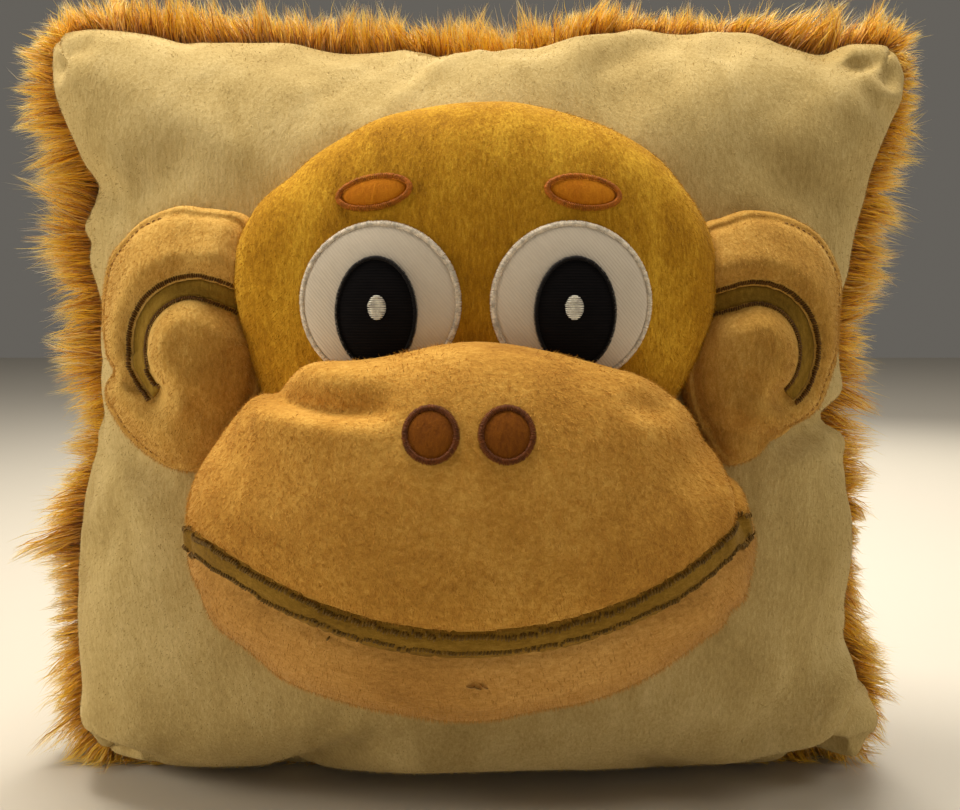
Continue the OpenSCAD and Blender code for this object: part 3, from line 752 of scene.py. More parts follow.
def noise_n(nt, coord, scale, detail=2.0, stretch=(1, 1, 1), rough=0.55, dist=0.0):
    mp = nt.nodes.new("ShaderNodeMapping")
    mp.inputs["Scale"].default_value = stretch
    nt.links.new(coord, mp.inputs["Vector"])
    n = nt.nodes.new("ShaderNodeTexNoise")
    n.inputs["Scale"].default_value = scale
    n.inputs["Detail"].default_value = detail
    n.inputs["Roughness"].default_value = rough
    n.inputs["Distortion"].default_value = dist
    nt.links.new(mp.outputs[0], n.inputs["Vector"])
    return n.outputs[0]


def plush(name, dark, mid, light, nap=(1, 1, 0.3), big=12, patchy=70, fibre=900, sheen=0.55, tint=(1, 0.85, 0.6), rough=0.9, bump=0.5, contrast=1.0):
    m, nt, b = new_mat(name)
    tc = nt.nodes.new("ShaderNodeTexCoord").outputs["Object"]
    nb = noise_n(nt, tc, big, 3)
    np_ = noise_n(nt, tc, patchy, 4, nap, 0.6, 0.6)
    nf_ = noise_n(nt, tc, fibre, 3, nap, 0.65, 0.3)
    ns = noise_n(nt, tc, fibre * 2.2, 2, (1, 1, 1), 0.6)
    s = mathn(nt, "MULTIPLY", nb, 0.30)
    s = mathn(nt, "ADD", s, mathn(nt, "MULTIPLY", np_, 0.26))
    s = mathn(nt, "ADD", s, mathn(nt, "MULTIPLY", nf_, 0.28))
    s = mathn(nt, "ADD", s, mathn(nt, "MULTIPLY", ns, 0.16))
    lo, hi = 0.5 - 0.115 / contrast, 0.5 + 0.115 / contrast
    col = ramp(nt, s, [(lo, dark), (0.5, mid), (hi, light)])
    nt.links.new(col, b.inputs["Base Color"])
    b.inputs["Roughness"].default_value = rough
    b.inputs["Sheen Weight"].default_value = sheen
    b.inputs["Sheen Roughness"].default_value = 0.35
    b.inputs["Sheen Tint"].default_value = (*tint, 1)
    b.inputs["Specular IOR Level"].default_value = 0.15
    h = mathn(nt, "ADD", mathn(nt, "MULTIPLY", nf_, 0.6), mathn(nt, "MULTIPLY", ns, 0.25))
    h = mathn(nt, "ADD", h, mathn(nt, "MULTIPLY", np_, 1.2))
    bp = N(nt, "ShaderNodeBump", None, Strength=bump, Distance=0.0012)
    nt.links.new(h, bp.inputs["Height"])
    nt.links.new(bp.outputs[0], b.inputs["Normal"])
    return m


def thread_mat(name, col, rough=0.55, sheen=0.3, vary=0.25):
    m, nt, b = new_mat(name)
    tc = nt.nodes.new("ShaderNodeTexCoord").outputs["Object"]
    n1 = noise_n(nt, tc, 500, 2)
    n2 = noise_n(nt, tc, 3500, 2)
    s = mathn(nt, "ADD", mathn(nt, "MULTIPLY", n1, 0.6), mathn(nt, "MULTIPLY", n2, 0.4))
    lo = tuple(c * (1 - vary * 1.4) for c in col); hi = tuple(min(1, c * (1 + vary * 1.4)) for c in col)
    nt.links.new(ramp(nt, s, [(0.38, lo), (0.62, hi)]), b.inputs["Base Color"])
    b.inputs["Roughness"].default_value = rough
    b.inputs["Sheen Weight"].default_value = sheen
    b.inputs["Sheen Tint"].default_value = (*tuple(min(1, c * 2 + 0.05) for c in col), 1)
    b.inputs["Specular IOR Level"].default_value = 0.18
    bp = N(nt, "ShaderNodeBump", None, Strength=0.35, Distance=0.0002)
    nt.links.new(n2, bp.inputs["Height"]); nt.links.new(bp.outputs[0], b.inputs["Normal"])
    return m


def woven(name, dark, light, pitch=0.9, angle=35, rough=0.8, spec=0.2, sheen=0.3, depth=0.0003, metallic=0.0):
    """twill or satin rows: fine diagonal ribs with uneven thread colour"""
    m, nt, b = new_mat(name)
    tc = nt.nodes.new("ShaderNodeTexCoord").outputs["Object"]
    mp = N(nt, "ShaderNodeMapping", None)
    mp.inputs["Rotation"].default_value = (0, math.radians(angle), 0)
    nt.links.new(tc, mp.inputs["Vector"])
    w = nt.nodes.new("ShaderNodeTexWave")
    w.wave_type = "BANDS"; w.bands_direction = "X"; w.wave_profile = "SIN"
    w.inputs["Scale"].default_value = 1000.0 / pitch / 20 * math.pi
    w.inputs["Distortion"].default_value = 0.6
    w.inputs["Detail"].default_value = 2
    w.inputs["Detail Scale"].default_value = 1.5
    nt.links.new(mp.outputs[0], w.inputs["Vector"])
    n1 = noise_n(nt, tc, 40, 2)
    n2 = noise_n(nt, mp.outputs[0], 700, 3, (1, 1, 0.2))
    s = mathn(nt, "ADD", mathn(nt, "MULTIPLY", w.outputs["Fac"], 0.35), mathn(nt, "MULTIPLY", n2, 0.5))
    s = mathn(nt, "ADD", s, mathn(nt, "MULTIPLY", n1, 0.2))
    nt.links.new(ramp(nt, s, [(0.3, dark), (0.75, light)]), b.inputs["Base Color"])
    b.inputs["Roughness"].default_value = rough
    b.inputs["Specular IOR Level"].default_value = spec
    b.inputs["Sheen Weight"].default_value = sheen
    bp = N(nt, "ShaderNodeBump", None, Strength=0.6, Distance=depth)
    nt.links.new(mathn(nt, "ADD", w.outputs["Fac"], mathn(nt, "MULTIPLY", n2, 0.8)), bp.inputs["Height"])
    nt.links.new(bp.outputs[0], b.inputs["Normal"])
    return m


M_panel = plush("panel_plush", (.35, .245, .082), (.50, .368, .145), (.66, .515, .24), nap=(1, 1, 0.35), sheen=0.12, tint=(1, .9, .65), patchy=55, contrast=0.9)
M_backc = plush("back_cloth", (.10, .045, .008), (.17, .08, .015), (.26, .13, .03), sheen=0.1)
M_head = plush("head_plush", (.27, .115, .003), (.48, .235, .010), (.74, .43, .035), nap=(1, 1, 0.3), sheen=0.12, tint=(1, .8, .3), contrast=1.05)
M_muz = plush("muzzle_plush", (.34, .150, .020), (.54, .275, .045), (.74, .43, .095), nap=(0.5, 1, 0.6), sheen=0.14, tint=(1, .8, .4))
M_lip = plush("lip_plush", (.32, .155, .030), (.50, .260, .060), (.66, .38, .11), nap=(0.4, 1, 0.8), sheen=0.14, tint=(1, .8, .5), patchy=45)
M_band = plush("mouth_band_plush", (.14, .070, .006), (.24, .130, .014), (.34, .195, .03), nap=(0.4, 1, 1), sheen=0.1, tint=(1, .8, .4))
M_ear = plush("ear_plush", (.34, .165, .025), (.54, .30, .060), (.74, .47, .13), nap=(1, 1, 0.4), sheen=0.14, tint=(1, .85, .5))
M_eband = plush("ear_band_plush", (.15, .078, .006), (.25, .140, .015), (.36, .215, .03), sheen=0.1, tint=(1, .8, .4))
M_nose = plush("nostril_plush", (.10, .026, .001), (.155, .044, .002), (.22, .068, .003), sheen=0.05, tint=(1, .6, .2), patchy=120)
M_brow = plush("brow_plush", (.42, .12, .003), (.54, .18, .006), (.66, .25, .01), sheen=0.05, tint=(1, .6, .2), patchy=120)
M_eye = woven("eye_twill", (.64, .56, .46), (.71, .63, .52), pitch=0.5, angle=40, sheen=0.05, depth=0.00012)
M_black = woven("black_satin", (.004, .004, .005), (.009, .008, .009), pitch=0.5, angle=90, rough=0.8, spec=0.04, sheen=0.0, depth=0.00012)
T_white = thread_mat("ring_thread", (.72, .64, .52))
T_black = thread_mat("pupil_thread", (.008, .007, .008), rough=0.7)
T_hi = thread_mat("highlight_thread", (.80, .75, .66), rough=0.4)
T_dark = thread_mat("dark_thread", (.140, .075, .010))
T_ear = thread_mat("ear_band_thread", (.105, .045, .004))
T_nose = thread_mat("nostril_thread", (.115, .030, .003))
T_brow = thread_mat("brow_thread", (.38, .115, .008))
T_tan = thread_mat("tan_thread", (.33, .18, .05))

cushion.data.materials.append(M_panel); cushion.data.materials.append(M_backc)

# muzzle: two cloths meeting under the band
mv = verts_of(muz.o)
lowest = np.interp(mv[:, 0], ml[np.argsort(ml[:, 0])][:, 0], ml[np.argsort(ml[:, 0])][:, 2])
closed_back(head); closed_back(muz)
for o in (head.o, muz.o):
    subdivide(o, 1)
head.o.data.materials.append(M_head)
muz.o.data.materials.append(M_muz); muz.o.data.materials.append(M_lip)
mv = verts_of(muz.o)
oo = np.argsort(ml[:, 0])
below = mv[:, 2] < np.interp(mv[:, 0], ml[oo][:, 0], ml[oo][:, 2])
muz.o.data.polygons.foreach_set("material_index", [int(below[p.vertices[0]]) for p in muz.o.data.polygons])
for o in (ear_l, ear_r):
    o.data.materials.append(M_ear)
face_s = Surf(head.o, muz.o)
muz_s = Surf(muz.o)
hd_s = Surf(head.o)

def tucked(line, surf, steps=9, step=1.5):
    """carry a line on round the side of a pad, out of sight"""
    out = [tuple(q_) for q_ in line]
    for end in (0, -1):
        p_ = np.array(line[end], float)
        sgn = np.sign(p_[0])
        new = []
        for _ in range(steps):
            q_, n_ = surf.snap((p_ + np.array([sgn * 0.15, step, 0.1]))[None])
            p_ = q_[0]; new.append(tuple(p_))
        out = new[::-1] + out if end == 0 else out + new
    return np.array(out)


mouth = resample(tucked(ml, muz_s), 1.5)
q, n, tan, sd = sides_of(mouth, muz_s)
mouth_band = ribbon("mouth_band_strip", muz_s, mouth, sd, 9.0, lift=0.3, puff=1.0, cols=8, mat=M_band)
mb_s = Surf(muz.o, mouth_band)
up = sd if sd[len(sd) // 2, 2] > 0 else -sd
mst_u = topstitch("mouth_stitch_upper_thread", mb_s, mouth, up, n, 4.6, 1.15, 1.9, 0.15, T_dark, dia=0.8, seed=21)
mst_l = topstitch("mouth_stitch_lower_thread", mb_s, mouth, -up, n, 4.6, 1.15, 1.9, 0.15, T_dark, dia=0.8, seed=22)

tack_x = np.array([-3.2, -1.0, 1.4]); tack_z = np.array([90.5, 89.6, 90.6])
f0, n0 = muz_s.hit(tack_x - 1.4, tack_z + 0.5); f1, n1 = muz_s.hit(tack_x + 1.4, tack_z - 0.5)
tack = threads("chin_tack_thread", W(tack_x - 1.4, f0, tack_z + 0.5) + n0 * 0.2, W(tack_x + 1.4, f1, tack_z - 0.5) + n1 * 0.2, n0, 0.7, 0.5, T_tan)

pieces_cushion = {}
for side, x, px_, hx, bx, br in (("left", -35, -36, -35.5, -37.0, 9), ("right", 32.0, 33.0, 32.5, 36.0, -6)):
    e = patch(f"eye_white_{side}_cloth", hd_s, x, 216, 27.6, 27.6, 0, 0.9, 2.2, nr=18, na=96); e.data.materials.append(M_eye)
    r_ = satin_ring(f"eye_ring_{side}_thread", hd_s, x, 216, 28.6, 28.6, 0, 2.3, 0.52, 0.9, T_white, dia=0.62, seed=31)
    es = Surf(e)
    p = patch(f"pupil_{side}_satin", es, px_, 212.5, 14.2, 19.5, 0, 0.5, 1.6, nr=14, na=72); p.data.materials.append(M_black)
    pr_ = satin_ring(f"pupil_ring_{side}_thread", es, px_, 212.5, 14.5, 19.8, 0, 1.6, 0.45, 1.0, T_black, dia=0.48, seed=35)
    ps = Surf(e, p)
    zz = np.linspace(-3.9, 3.9, 14)
    ww = 3.2 * np.sqrt(1 - (zz / 4.2) ** 2)
    f0, n0 = ps.hit(hx - ww, 214.5 + zz); f1, n1 = ps.hit(hx + ww, 214.5 + zz)
    h_ = threads(f"eye_highlight_{side}_thread", W(hx - ww, f0, 214.5 + zz) + n0 * 0.15, W(hx + ww, f1, 214.5 + zz) + n1 * 0.15, n0, 0.66, 0.5, T_hi, 0.04)
    b_ = patch(f"brow_{side}_patch", hd_s, bx, 254.5, 12.2, 4.9, br, 0.6, 0.9, nr=6, na=48); b_.data.materials.append(M_brow)
    bs = satin_ring(f"brow_ring_{side}_thread", hd_s, bx, 254.5, 13.8, 6.5, br, 2.1, 0.55, 0.7, T_brow, dia=0.62, seed=41)
    nx = -15.5 if side == "left" else 8.5
    no = patch(f"nostril_{side}_patch", muz_s, nx, 174.5, 8.0, 8.0, 0, 0.6, 1.0, nr=8, na=48); no.data.materials.append(M_nose)
    ns_ = satin_ring(f"nostril_ring_{side}_thread", muz_s, nx, 174.5, 9.3, 9.3, 0, 2.2, 0.55, 0.7, T_nose, dia=0.64, seed=51)
    pieces_cushion.update({
        pr_: (None, "black_satin"),
        e: ("eye_white_" + side, "eye_cloth"), r_: ("eye_stitch_" + side, "white_thread"), p: ("pupil_" + side, "black_satin"),
        h_: ("eye_highlight_" + side, "white_thread"), b_: ("brow_" + side, "brow_plush"), bs: ("brow_stitch_" + side, "brow_thread"),
        no: ("nostril_" + side, "nostril_plush"), ns_: ("nostril_stitch_" + side, "nostril_thread")})
pieces_cushion.update({mouth_band: ("mouth_band", "lip_plush"), mst_u: ("mouth_stitch_upper", "dark_thread"),
                       mst_l: ("mouth_stitch_lower", "dark_thread"), tack: ("chin_tack", "tan_thread")})

pieces_ear = {"left": {}, "right": {}}
for side, eo, path, outline, cx, cz in (("left", ear_l, BAND_L, EAR_L, -117, 203), ("right", ear_r, BAND_R, EAR_R, 111, 204)):
    s_ = Surf(eo)
    f, n = s_.hit(path[:, 0], path[:, 1])
    ok = ~np.isnan(f)
    line = resample(W(path[ok, 0], f[ok], path[ok, 1]), 1.5)
    q, n, tan, sd = sides_of(line, s_)
    along = np.linspace(0, 1, len(line))
    bw = 8.8 + 2.6 * np.clip(1 - along / 0.35, 0, 1) - 1.6 * np.clip((along - 0.93) / 0.07, 0, 1)
    bd = ribbon(f"ear_band_{side}_strip", s_, line, sd, bw, lift=0.3, puff=0.9, cols=8, mat=M_eband)
    bs_ = Surf(eo, bd)
    mid = np.array([-109 if side == "left" else 106, 0, 197.0])
    outw = np.sign(((line - mid) * sd)[:, 0] + ((line - mid) * sd)[:, 2])[:, None] * sd
    so_ = topstitch(f"ear_stitch_outer_{side}_thread", bs_, line, outw * (bw / 8.8)[:, None], n, 4.2, 0.9, 1.8, 0.35, T_ear, dia=0.85, seed=61)
    si_ = topstitch(f"ear_stitch_inner_{side}_thread", bs_, line, outw * (bw / 8.8)[:, None], n, -4.2, 0.9, 1.8, 0.35, T_ear, dia=0.85, seed=62)
    R = radial(outline, cx, cz)
    a = np.radians(np.arange(95, 262, 0.5)) if side == "left" else np.radians(np.concatenate([np.arange(282, 360, 0.5), np.arange(0, 85, 0.5)]))
    rr = R(np.degrees(a)) - 4.2
    x, z = cx + rr * np.cos(a), cz + rr * np.sin(a)
    f, n = s_.hit(x, z); ok = ~np.isnan(f)
    el = resample(W(x[ok], f[ok], z[ok]), 2.6)
    q, n, tan, sd2 = sides_of(el, s_)
    ed = threads(f"ear_edge_{side}_thread", q[:-1] + tan[:-1] * 0.3, q[:-1] + tan[:-1] * 1.9, n[:-1], 0.55, 0.35, T_tan, 0.06)
    pieces_ear[side] = {bd: (["ear_band_" + side], "band_plush"), so_: (["ear_band_stitch_outer_" + side], "dark_thread"),
                        si_: (["ear_band_stitch_inner_" + side], "dark_thread"), ed: (["ear_edge_seam_" + side], "tan_thread"),
                        eo: ([f"ear_front_{side}", f"ear_back_{side}", f"ear_filling_{side}"], "ear_plush")}

# ------------------------------------------------------------------ long pile


def fur_mat():
    m, nt, b = new_mat("long_pile")
    uv = N(nt, "ShaderNodeUVMap", {"uv_map": "OFBake"})
    sp = nt.nodes.new("ShaderNodeSeparateXYZ"); nt.links.new(uv.outputs[0], sp.inputs[0])
    gold = ramp(nt, sp.outputs[1], [(0.0, (.15, .045, .002)), (0.2, (.58, .24, .006)), (0.5, (.93, .54, .022)), (0.78, (.95, .68, .09)), (1.0, (.97, .82, .34))])
    pale = ramp(nt, sp.outputs[1], [(0.0, (.24, .090, .006)), (0.25, (.62, .30, .035)), (0.55, (.84, .54, .14)), (0.8, (.92, .76, .44)), (1.0, (.96, .90, .74))])
    deep = ramp(nt, sp.outputs[1], [(0.0, (.07, .018, .001)), (0.35, (.34, .11, .003)), (0.7, (.66, .29, .010)), (1.0, (.86, .52, .09))])
    mx = nt.nodes.new("ShaderNodeMix"); mx.data_type = "RGBA"
    nt.links.new(ramp(nt, sp.outputs[0], [(0.0, (0, 0, 0)), (0.32, (0, 0, 0)), (0.34, (1, 1, 1)), (1.0, (1, 1, 1))]), mx.inputs["Factor"])
    nt.links.new(deep, mx.inputs[6]); nt.links.new(gold, mx.inputs[7])
    mx2 = nt.nodes.new("ShaderNodeMix"); mx2.data_type = "RGBA"
    nt.links.new(ramp(nt, sp.outputs[0], [(0.0, (0, 0, 0)), (0.66, (0, 0, 0)), (0.68, (1, 1, 1)), (1.0, (1, 1, 1))]), mx2.inputs["Factor"])
    nt.links.new(mx.outputs[2], mx2.inputs[6]); nt.links.new(pale, mx2.inputs[7])
    # each fibre a little lighter or darker
    nz = nt.nodes.new("ShaderNodeTexNoise"); nz.noise_dimensions = "1D"
    nz.inputs["Scale"].default_value = 60; nz.inputs["Detail"].default_value = 2
    nt.links.new(sp.outputs[0], nz.inputs["W"])
    hs = N(nt, "ShaderNodeHueSaturation", None)
    nt.links.new(mx2.outputs[2], hs.inputs["Color"])
    nt.links.new(mathn(nt, "ADD", mathn(nt, "MULTIPLY", nz.outputs[0], 0.7), 0.72), hs.inputs["Value"])
    nt.links.new(hs.outputs[0], b.inputs["Base Color"])
    b.inputs["Roughness"].default_value = 0.55
    b.inputs["Specular IOR Level"].default_value = 0.35
    b.inputs["Sheen Weight"].default_value = 0.25
    b.inputs["Sheen Tint"].default_value = (1, .85, .55, 1)
    # transmission stays at zero: the fibres let no light through
    b.inputs["Transmission Weight"].default_value = 0.0
    return m


def strand_mesh(name, P, width, uvx, seed, mat):
    """P: n x (k+1) x 3 centre lines; tapered flat ribbons"""
    n, k1, _ = P.shape
    rng = np.random.default_rng(seed)
    tan = np.gradient(P, axis=1); tan /= np.maximum(np.linalg.norm(tan, axis=2, keepdims=True), 1e-9)
    rv = rng.normal(size=(n, 1, 3))
    side = np.cross(tan, rv); side /= np.maximum(np.linalg.norm(side, axis=2, keepdims=True), 1e-9)
    s = np.linspace(0, 1, k1)
    w = (width[:, None] / 2) * (1.0 - 0.75 * s[None]) 
    A = P[:, :-1] - side[:, :-1] * w[:, :-1, None]; B = P[:, :-1] + side[:, :-1] * w[:, :-1, None]
    V = np.concatenate([np.stack([A, B], 2).reshape(n, -1, 3), P[:, -1:]], 1)
    m = V.shape[1]
    base = (np.arange(n) * m)[:, None, None]
    Q = np.array([[2 * j, 2 * j + 1, 2 * j + 3, 2 * j + 2] for j in range(k1 - 2)])
    T = np.array([[2 * (k1 - 2), 2 * (k1 - 2) + 1, m - 1]])
    q = (Q[None] + base).reshape(-1, 4); t = (T[None] + base).reshape(-1, 3)
    me = bpy.data.meshes.new(name)
    me.vertices.add(n * m); me.vertices.foreach_set("co", (V.reshape(-1, 3) * MM).ravel())
    loops = np.concatenate([q.ravel(), t.ravel()]); tot = np.concatenate([np.full(len(q), 4), np.full(len(t), 3)])
    me.loops.add(len(loops)); me.loops.foreach_set("vertex_index", loops.astype(np.int32))
    me.polygons.add(len(tot))
    me.polygons.foreach_set("loop_start", np.concatenate([[0], np.cumsum(tot)[:-1]]).astype(np.int32))
    me.polygons.foreach_set("loop_total", tot.astype(np.int32))
    me.polygons.foreach_set("use_smooth", np.ones(len(tot), bool))
    me.update(calc_edges=True)
    uv = me.uv_layers.new(name="OFBake")
    vv = np.empty((n, m, 2))
    du = 0.0015
    for j in range(k1 - 1):
        vv[:, 2 * j, 0] = uvx - du; vv[:, 2 * j + 1, 0] = uvx + du; vv[:, 2 * j:2 * j + 2, 1] = 0.004 + 0.992 * s[j]
    vv[:, -1, 0] = uvx; vv[:, -1, 1] = 0.996
    uv.data.foreach_set("uv", vv.reshape(-1, 2)[loops].ravel())
    o = bpy.data.objects.new(name, me)
    bpy.context.scene.collection.objects.link(o)
    me.materials.append(mat)
    return o


FUR = [(-187, 342), (-202, 316), (-209, 296), (-207, 279), (-209, 258), (-206, 243), (-203, 225), (-196, 215), (-193, 173), (-199, 166),
       (-199, 153), (-207, 136), (-209, 123), (-212, 113), (-210, 99), (-201, 90), (-197, 77), (-197, 59), (-203, 47), (-210, 33),
       (-210, 18), (-203, 3), (-188, -6), (-171, -9), (-120, -6), (0, -8), (120, -6), (180, -2), (194, 3), (199, 15), (198, 31),
       (187, 89), (181, 106), (191, 128), (184, 141), (194, 165), (195, 177), (180, 207), (182, 217), (187, 236), (190, 263),
       (198, 312), (188, 336), (159, 345), (125, 343), (98, 341), (62, 345), (36, 341), (0, 339), (-36, 340), (-80, 342),
       (-125, 345), (-160, 347)]
FUR = [(x - (7.5 if z > 190 else 11.5) * (x > 150 and -5 < z < 330), z) for x, z in FUR]
furR = radial(FUR, CX, CZ)


def long_pile(total, clumps, seed):
    rng = np.random.default_rng(seed)
    me = cushion.data
    v = verts_of(cushion); vn = vertex_normals(cushion)
    quads = np.array([list(p.vertices)[:4] for p in me.polygons if p.material_index == 1])
    a, b, c, d = (v[quads[:, i]] for i in range(4))
    area = np.linalg.norm(np.cross(c - a, d - b), axis=1) / 2
    cen = (a + b + c + d) / 4
    tt = np.degrees(np.arctan2(cen[:, 2] - CZ, cen[:, 0])) % 360
    rel = np.hypot(cen[:, 0], cen[:, 2] - CZ) / panelR(tt)
    w = area * (1 + 3.2 * np.clip((rel - 0.80) / 0.2, 0, 1) ** 1.5)
    w[cen[:, 2] < 3] *= 0.4

    def place(m):
        k = rng.choice(len(quads), size=m, p=w / w.sum())
        u, s = rng.random((2, m, 1))
        p = (a[k] * (1 - u) + b[k] * u) * (1 - s) + (d[k] * (1 - u) + c[k] * u) * s
        na, nb, nc, nd = (vn[quads[k][:, i]] for i in range(4))
        n = (na * (1 - u) + nb * u) * (1 - s) + (nd * (1 - u) + nc * u) * s
        n /= np.linalg.norm(n, axis=1, keepdims=True)
        return p, n

    def base(p, n, jitter):
        t = np.degrees(np.arctan2(p[:, 2] - CZ, p[:, 0])) % 360
        pr = panelR(t); rr = np.hypot(p[:, 0], p[:, 2] - CZ)
        rim = np.clip((rr / pr - 0.86) / 0.12, 0, 1)
        want = np.clip(furR(t) - rr * 1.0 + 2.0, 6, 26)
        L = (1 - rim) * 21 + rim * (want + 2)
        L = L * (1 + 0.14 * noise(p, seed + 5, 2, 30))
        rad = np.stack([p[:, 0], np.zeros(len(p)), p[:, 2] - CZ], -1); rad /= np.maximum(np.linalg.norm(rad, axis=1, keepdims=True), 1)
        comb = np.stack([0.35 * noise(p, seed + 1, 2, 70), 0.1 * noise(p, seed + 2, 2, 50), -0.35 + 0.35 * noise(p, seed + 3, 2, 60)], -1)
        d0 = n + rad * (0.9 * rim[:, None]) + comb * 0.4 + jitter * 0.5
        d0 /= np.linalg.norm(d0, axis=1, keepdims=True)
        d1 = n * 0.55 + rad * (0.8 * rim[:, None]) + comb * 1.1 + jitter
        d1[:, 1] -= 0.12 * rim
        d1 /= np.linalg.norm(d1, axis=1, keepdims=True)
        return d0, d1, L, rim, t

    K = 5
    s = np.linspace(0, 1, K)

    def path(p, d0, d1, L):
        q = p[:, None] + L[:, None, None] * (d0[:, None] * (s - s**2 / 2)[None, :, None] + d1[:, None] * (s**2 / 2)[None, :, None] * 1.1)
        return q

    cp, cn = place(clumps)
    cd0, cd1, cL, crim, ct = base(cp, cn, rng.normal(scale=0.28, size=(clumps, 3)))
    cL = cL * rng.uniform(0.6, 1.32, clumps)
    C = path(cp - cn * 1.0, cd0, cd1, cL)
    from mathutils.kdtree import KDTree
    kd = KDTree(clumps)
    for i, q_ in enumerate(cp):
        kd.insert(Vector(q_), i)
    kd.balance()
    p, n = place(total)
    near = np.array([kd.find(Vector(q_))[1] for q_ in p])
    d0, d1, L, rim, t = base(p, n, rng.normal(scale=0.30, size=(total, 3)))
    wisp = rng.random(total) < 0.14
    L = L * rng.uniform(0.55, 1.1, total) * np.where(wisp, 1.28, 1.0)
    P = path(p - n * 1.0, d0, d1, L)
    share = (np.clip(rng.normal(0.66, 0.24, total), 0.0, 0.95) * np.where(wisp, 0.45, 1.0))[:, None] * (s[None] ** 1.15)
    Cn = C[near] + 0.0
    P = P * (1 - share[:, :, None]) + Cn * share[:, :, None]
    # crimp
    e1 = np.cross(d1, rng.normal(size=d1.shape)); e1 /= np.linalg.norm(e1, axis=1, keepdims=True)
    e2 = np.cross(d1, e1)
    fr = rng.uniform(0.6, 1.5, total)[:, None]; ph = rng.uniform(0, 6.28, total)[:, None]
    amp = rng.uniform(0.4, 2.3, total)[:, None] * s[None]
    P += (np.cos(fr * 6.28 * s[None] + ph) * amp)[:, :, None] * e1[:, None] + (np.sin(fr * 6.28 * s[None] + ph) * amp)[:, :, None] * e2[:, None]
    # nothing below the table
    lowz = 0.3 + rng.random(total)[:, None] * 1.6
    P[:, :, 2] = np.maximum(P[:, :, 2], lowz)
    ax = np.abs(P[:, :, 0])
    P[:, :, 0] = np.sign(P[:, :, 0]) * np.where(ax > 208, 208 + 9.5 * np.tanh((ax - 208) / 9.5), ax)
    P[:, :, 1] = np.where(P[:, :, 1] > 128, 128 + 10 * np.tanh((P[:, :, 1] - 128) / 10), P[:, :, 1])
    # colour class (deep, gold or pale) and width of each strand
    cls = np.where(wisp, rng.uniform(0.6, 1.0, total), rng.random(total))
    # painted light: more pale strands low on the left side, where the left lamp falls on the pile
    painted_light_left_low = np.exp(-((p[:, 2] - 85) / 25) ** 2) * (p[:, 0] < -120)
    # painted shade: more deep-coloured strands on the right side at mid height, the side turned away from the lamps
    painted_shade_right = np.exp(-((p[:, 2] - 170) / 35) ** 2) * (p[:, 0] > 120)
    pd = 0.22 + 0.16 * painted_shade_right - 0.18 * painted_light_left_low
    pp = 0.16 + 0.45 * painted_light_left_low
    u = np.where(cls < pd, rng.uniform(0.02, 0.31, total), np.where(cls > 1 - pp, rng.uniform(0.70, 0.98, total), rng.uniform(0.35, 0.65, total)))
    width = rng.uniform(0.32, 0.66, total) * (1 + 0.1 * rim) * np.where(wisp, 0.7, 1.0)
    return P, width, u, cen


M_fur = fur_mat()
NF = 150000
P, Wd, Uu, _ = long_pile(NF, 5200, SEED + 7)
fur = []
ang = (np.degrees(np.arctan2(P[:, 0, 2] - CZ, P[:, 0, 0])) + 22.5) % 360
far = np.hypot(P[:, 0, 0], P[:, 0, 2] - CZ) > 95
side_id = np.where(far, (ang // 45).astype(int), 8)
for k, nm in enumerate(("right", "top_right", "top", "top_left", "left", "bottom_left", "bottom", "bottom_right", "middle")):
    m_ = side_id == k
    fur.append(strand_mesh("pile_" + nm, P[m_], Wd[m_], Uu[m_], 100 + k, M_fur))
print("fur", [len(o.data.polygons) for o in fur])

# ------------------------------------------------------------------ short nap standing on the plush


def nap_mat(name, dark, mid, light):
    m, nt, b = new_mat(name)
    uv = N(nt, "ShaderNodeUVMap", {"uv_map": "OFBake"})
    sp = nt.nodes.new("ShaderNodeSeparateXYZ"); nt.links.new(uv.outputs[0], sp.inputs[0])
    s_ = mathn(nt, "ADD", mathn(nt, "MULTIPLY", sp.outputs[0], 0.55), mathn(nt, "MULTIPLY", sp.outputs[1], 0.45))
    nt.links.new(ramp(nt, s_, [(0.05, dark), (0.5, mid), (0.95, light)]), b.inputs["Base Color"])
    b.inputs["Roughness"].default_value = 0.8
    b.inputs["Specular IOR Level"].default_value = 0.15
    b.inputs["Sheen Weight"].default_value = 0.12
    b.inputs["Sheen Tint"].default_value = (1, .8, .4, 1)
    return m


